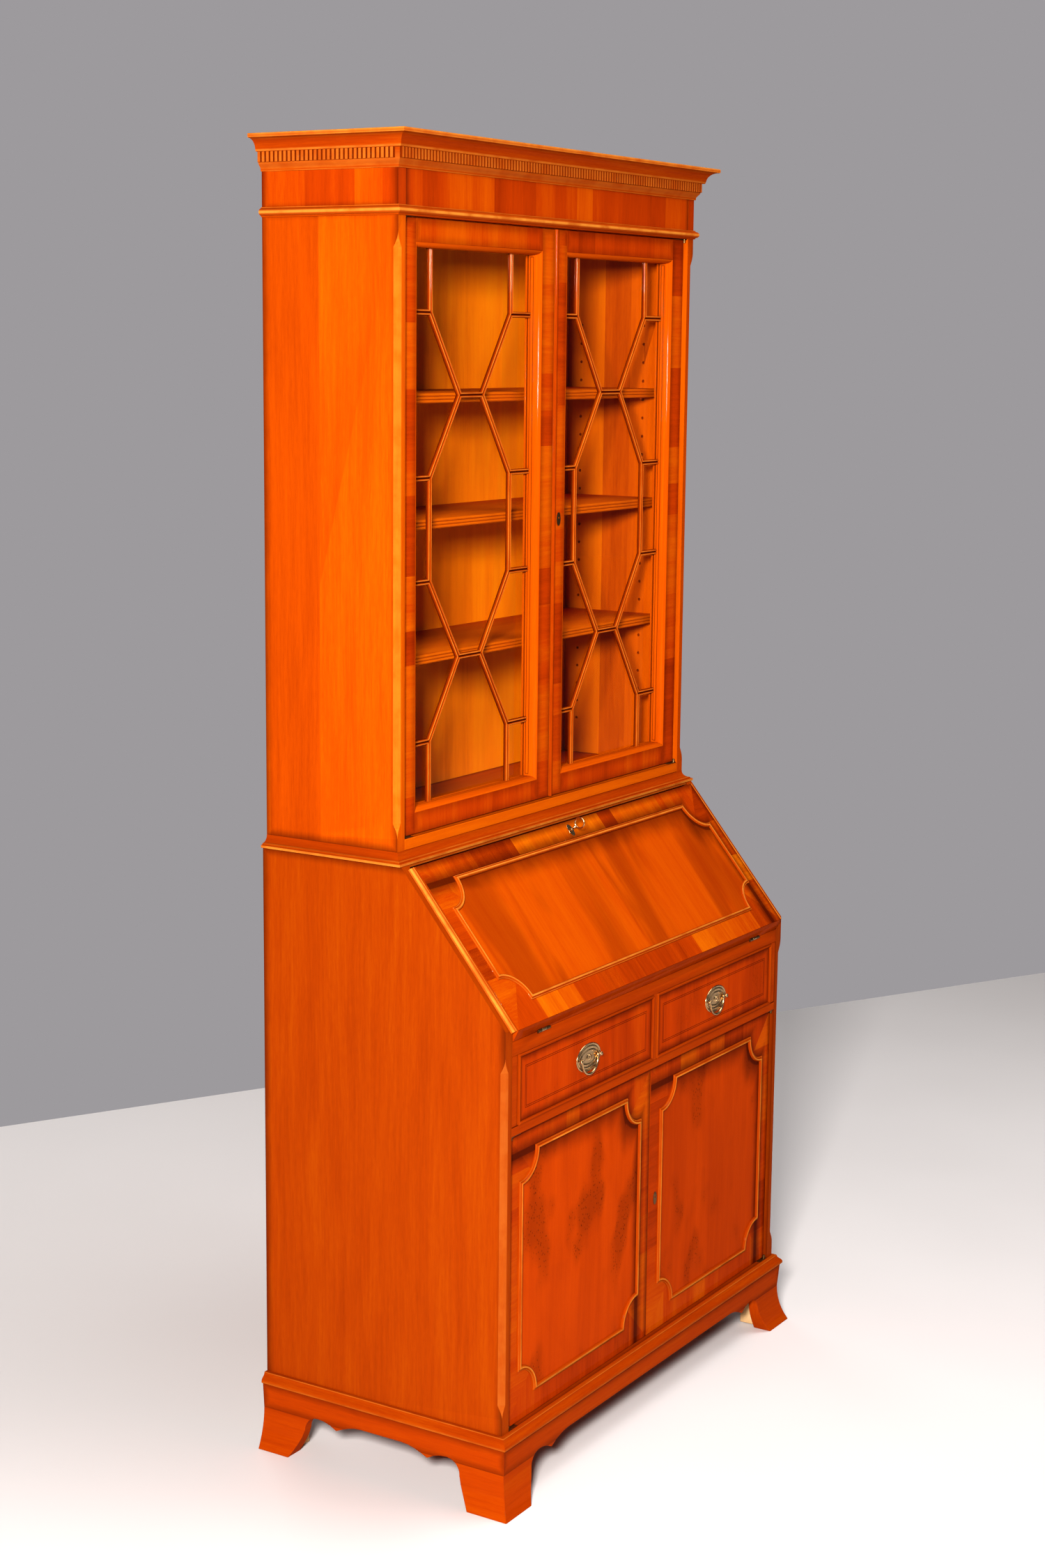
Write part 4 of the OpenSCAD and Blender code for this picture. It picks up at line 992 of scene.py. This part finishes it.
# oval handle plate: (half width, half height, thickness, wear), from its rim to the middle
PLATE = [(36.4, 23.0, 0, -.9), (36.4, 23.0, .7, -.3), (35.9, 22.5, 1.3, .5), (34.9, 21.5, 1.7, .9),
         (33.9, 20.5, 1.5, .3), (33.3, 19.9, .8, -.9), (32.4, 19.0, .75, -.8), (31.8, 18.4, 1.2, .1),
         (30.2, 16.8, 1.55, .5), (28.4, 15.0, 1.3, .0), (27.4, 14.0, .8, -.9), (26.4, 12.9, .9, -.5),
         (25.8, 12.2, 1.5, .4), (24.8, 11.2, 1.9, .9), (23.6, 10.2, 1.6, .2), (22.8, 9.6, 1.1, -.9),
         (17.0, 7.8, 1.2, -.3), (11.0, 6.6, 1.35, .1), (7.2, 6.0, 1.3, -.8), (6.6, 5.6, 1.9, .2),
         (5.4, 5.0, 2.4, .6), (3.6, 3.6, 2.0, -.6), (2.6, 2.6, 2.2, .2), (1.6, 1.6, 2.6, .7),
         (0.3, 0.3, 2.7, .6), (0.3, 0.3, 0, 0)]
PLATE_STEPS = 56
# turned pieces: (radius, height, wear)
ROSETTE_BEAD = [(1.25, 1.6, -.8), (1.2, 2.3, .2), (0.8, 2.75, .8), (0.1, 2.9, .8), (0.1, 1.6, 0)]
POST = [(4.6, 0.9, -.8), (4.6, 1.5, .2), (3.8, 2.0, .4), (2.4, 2.4, -.6), (1.9, 3.0, -.5), (2.2, 4.0, .3),
        (1.9, 5.0, -.4), (2.2, 5.4, -.5), (3.2, 5.7, .3), (3.4, 6.5, .8), (3.0, 7.4, .8), (2.0, 7.95, .6),
        (0.9, 8.15, .5), (0.25, 8.2, .5), (0.25, 0.9, 0)]
BAIL_END = [(0.2, 0, 0), (1.3, .2, .2), (2.0, 1.0, .6), (2.3, 2.2, .8), (2.1, 3.4, .5), (1.5, 4.1, -.5),
            (1.8, 4.8, .2), (1.6, 5.7, .2), (0.2, 5.8, 0)]
KEY_SHANK = [(0.2, .45, 0), (1.7, .45, -.6), (1.7, 3.4, 0), (2.0, 3.8, .4), (1.6, 4.4, -.5),
             (1.35, 6.0, 0), (1.35, 8.2, 0), (1.6, 8.6, -.5), (2.1, 9.3, .7), (1.6, 10.0, -.4),
             (2.2, 10.8, .6), (1.7, 11.6, -.3), (1.3, 12.8, 0), (0.2, 13.6, 0)]
ROSETTE_R, ROSETTE_BEADS = 3.9, 8
BAIL_HW, BAIL_END_X, BAIL_UP, BAIL_DROP, BAIL_STEPS = 23.6, 20.6, 1.2, 24.6, 32

for side, s in (("left", -1), ("right", 1)):
    cx, drawer = s * HANDLE_X, "drawer_" + side
    pc = Piece(drawer + "_plate_v", drawer, "brass", ["aged_brass"], (drawer + "_plate",), smooth=50)
    rings = [[(cx + hw * math.cos(a), DRAWER_Y - h, HANDLE_Z + hh * math.sin(a)) for hw, hh, h, w in PLATE]
             for a in turns(PLATE_STEPS)]
    run(pc, rings, [q[3] for q in PLATE], closed=True)
    for k in range(ROSETTE_BEADS):
        a = 360 / ROSETTE_BEADS * (k + 0.5)
        spot = (cx + ROSETTE_R * cosd(a), DRAWER_Y, HANDLE_Z + ROSETTE_R * sind(a))
        lathe(pc, spot, (0, -1, 0), ROSETTE_BEAD, n=8)
    for e in (-1, 1):
        lathe(pc, (cx + e * POST_X, DRAWER_Y, HANDLE_Z), (0, -1, 0), POST)
    pc.build()
    pc = Piece(drawer + "_bail_v", "bail_" + side, "brass", ["aged_brass"], (drawer + "_bail",), smooth=60)
    hy = DRAWER_Y - PIVOT_H
    path, radii = [], []
    for i in range(BAIL_STEPS + 1):
        a = math.pi * i / BAIL_STEPS
        path.append((cx - BAIL_HW * math.cos(a), hy, HANDLE_Z - BAIL_UP - BAIL_DROP * math.sin(a) ** 0.9))
        radii.append(1.35 + 0.85 * math.sin(a) ** 1.5)
    tube(pc, path, radii)
    for e in (-1, 1):
        lathe(pc, (cx + e * BAIL_END_X, hy, HANDLE_Z), (e, 0, 0), BAIL_END, n=16)
    pc.build()

# key: turned shank with collars, ring bow
KEY_S, BOW_OUT, BOW_HW, BOW_HH, BOW_STEPS = 268.0, 22.0, 8.5, 8.7, 40
pc = Piece("fall_key_v", "key", "brass", ["aged_brass"], ("fall_key",), smooth=50)
lathe(pc, slope(0, KEY_S, FALL_OUT), N, KEY_SHANK, n=16)
bow = [slope(0, KEY_S + BOW_HW * math.sin(a), FALL_OUT + BOW_OUT + BOW_HH * math.cos(a))
       for a in turns(BOW_STEPS)]
tube(pc, bow, [1.2 + 0.25 * (1 - math.cos(a)) / 2 for a in turns(BOW_STEPS)], closed=True)
pc.build()

# ---------------------------------------------------------------- camera, floor and light
# all of this in metres; the camera was fitted to the photograph
CAM_AT, CAM_YAW, CAM_PITCH, CAM_ROLL, CAM_LENS = (-3.428, -1.8816, 1.7524), 58.01, -10.084, 0.594, 56.96
SKIRTING = (0.506, 1.956), (3.193, 0.492)
FLOOR_ALONG, FLOOR_OUT, FLOOR_Z = 14, 16, -0.0003


def add_camera(sc):
    cam = bpy.data.objects.new("camera", bpy.data.cameras.new("camera"))
    sc.collection.objects.link(cam)
    f = Vector((sind(CAM_YAW) * cosd(CAM_PITCH), cosd(CAM_YAW) * cosd(CAM_PITCH), sind(CAM_PITCH)))
    r = Vector((cosd(CAM_YAW), -sind(CAM_YAW), 0))
    u = r.cross(f)
    r, u = cosd(CAM_ROLL) * r + sind(CAM_ROLL) * u, -sind(CAM_ROLL) * r + cosd(CAM_ROLL) * u
    m = Matrix((r, u, -f)).transposed().to_4x4()
    m.translation = (CAM_AT[0], CAM_AT[1] - MID_Y / 1000, CAM_AT[2])
    cam.matrix_world = m
    cam.data.lens = CAM_LENS
    cam.data.sensor_width = 36
    cam.data.clip_end = 60
    sc.camera = cam


def add_floor(sc):
    """The floor ends where it meets the wall of the room."""
    a, b = [Vector((x, y - MID_Y / 1000)) for x, y in SKIRTING]
    d = (b - a).normalized()
    out = Vector((d.y, -d.x)) * FLOOR_OUT
    a, b = a - d * FLOOR_ALONG, b + d * FLOOR_ALONG
    me = bpy.data.meshes.new("floor")
    me.from_pydata([(q.x, q.y, FLOOR_Z) for q in (a, b, b + out, a + out)], [], [(3, 2, 1, 0)])
    fl = bpy.data.objects.new("floor", me)
    sc.collection.objects.link(fl)
    speckled(material("floor"), 0.8, (0.60, 0.565, 0.555), (0.68, 0.645, 0.635), 0.2, 0.45)
    me.materials.append(MATS["floor"])


def add_world(sc):
    """The camera sees a grey wall; the object is lit by a much darker room."""
    sc.world = bpy.data.worlds.new("world")
    n = Nodes(sc.world)
    seen, lit = n.new("ShaderNodeBackground"), n.new("ShaderNodeBackground")
    n.put(seen.inputs[0], (0.312, 0.300, 0.312, 1))
    n.put(lit.inputs[0], (0.065, 0.065, 0.068, 1))
    mixed = n.new("ShaderNodeMixShader")
    n.put(mixed.inputs[0], n.new("ShaderNodeLightPath").outputs["Is Camera Ray"])
    n.put(mixed.inputs[1], lit.outputs[0])
    n.put(mixed.inputs[2], seen.outputs[0])
    n.end(mixed.outputs[0], "ShaderNodeOutputWorld")


def area(sc, name, loc, target, size, power, colour=(1, 1, 1)):
    """A square lamp at loc, turned to target; power in watts."""
    lamp = bpy.data.lights.new(name, "AREA")
    lamp.shape, lamp.size, lamp.size_y = "RECTANGLE", size, size
    lamp.energy, lamp.color = power, colour
    ob = bpy.data.objects.new(name, lamp)
    sc.collection.objects.link(ob)
    ob.location = loc
    ob.rotation_euler = (Vector(target) - Vector(loc)).to_track_quat("-Z", "Y").to_euler()


scene = bpy.context.scene
scene.view_settings.view_transform = "Standard"
scene.view_settings.look = "Medium High Contrast"
add_camera(scene)
add_floor(scene)
add_world(scene)
area(scene, "key", (-3.80, -1.90, 2.2), (0, 0, 1.25), 0.55, 410, (1.0, 0.975, 0.95))
area(scene, "overhead", (1.0, -1.3, 4.3), (0.4, -0.6, 0.0), 2.4, 115)
area(scene, "fill", (3.5, -4.2, 2.6), (0, 0, 1.0), 2.6, 12)
area(scene, "rear_fill", (2.4, 4.4, 2.8), (0, 0, 1.0), 2.4, 50)
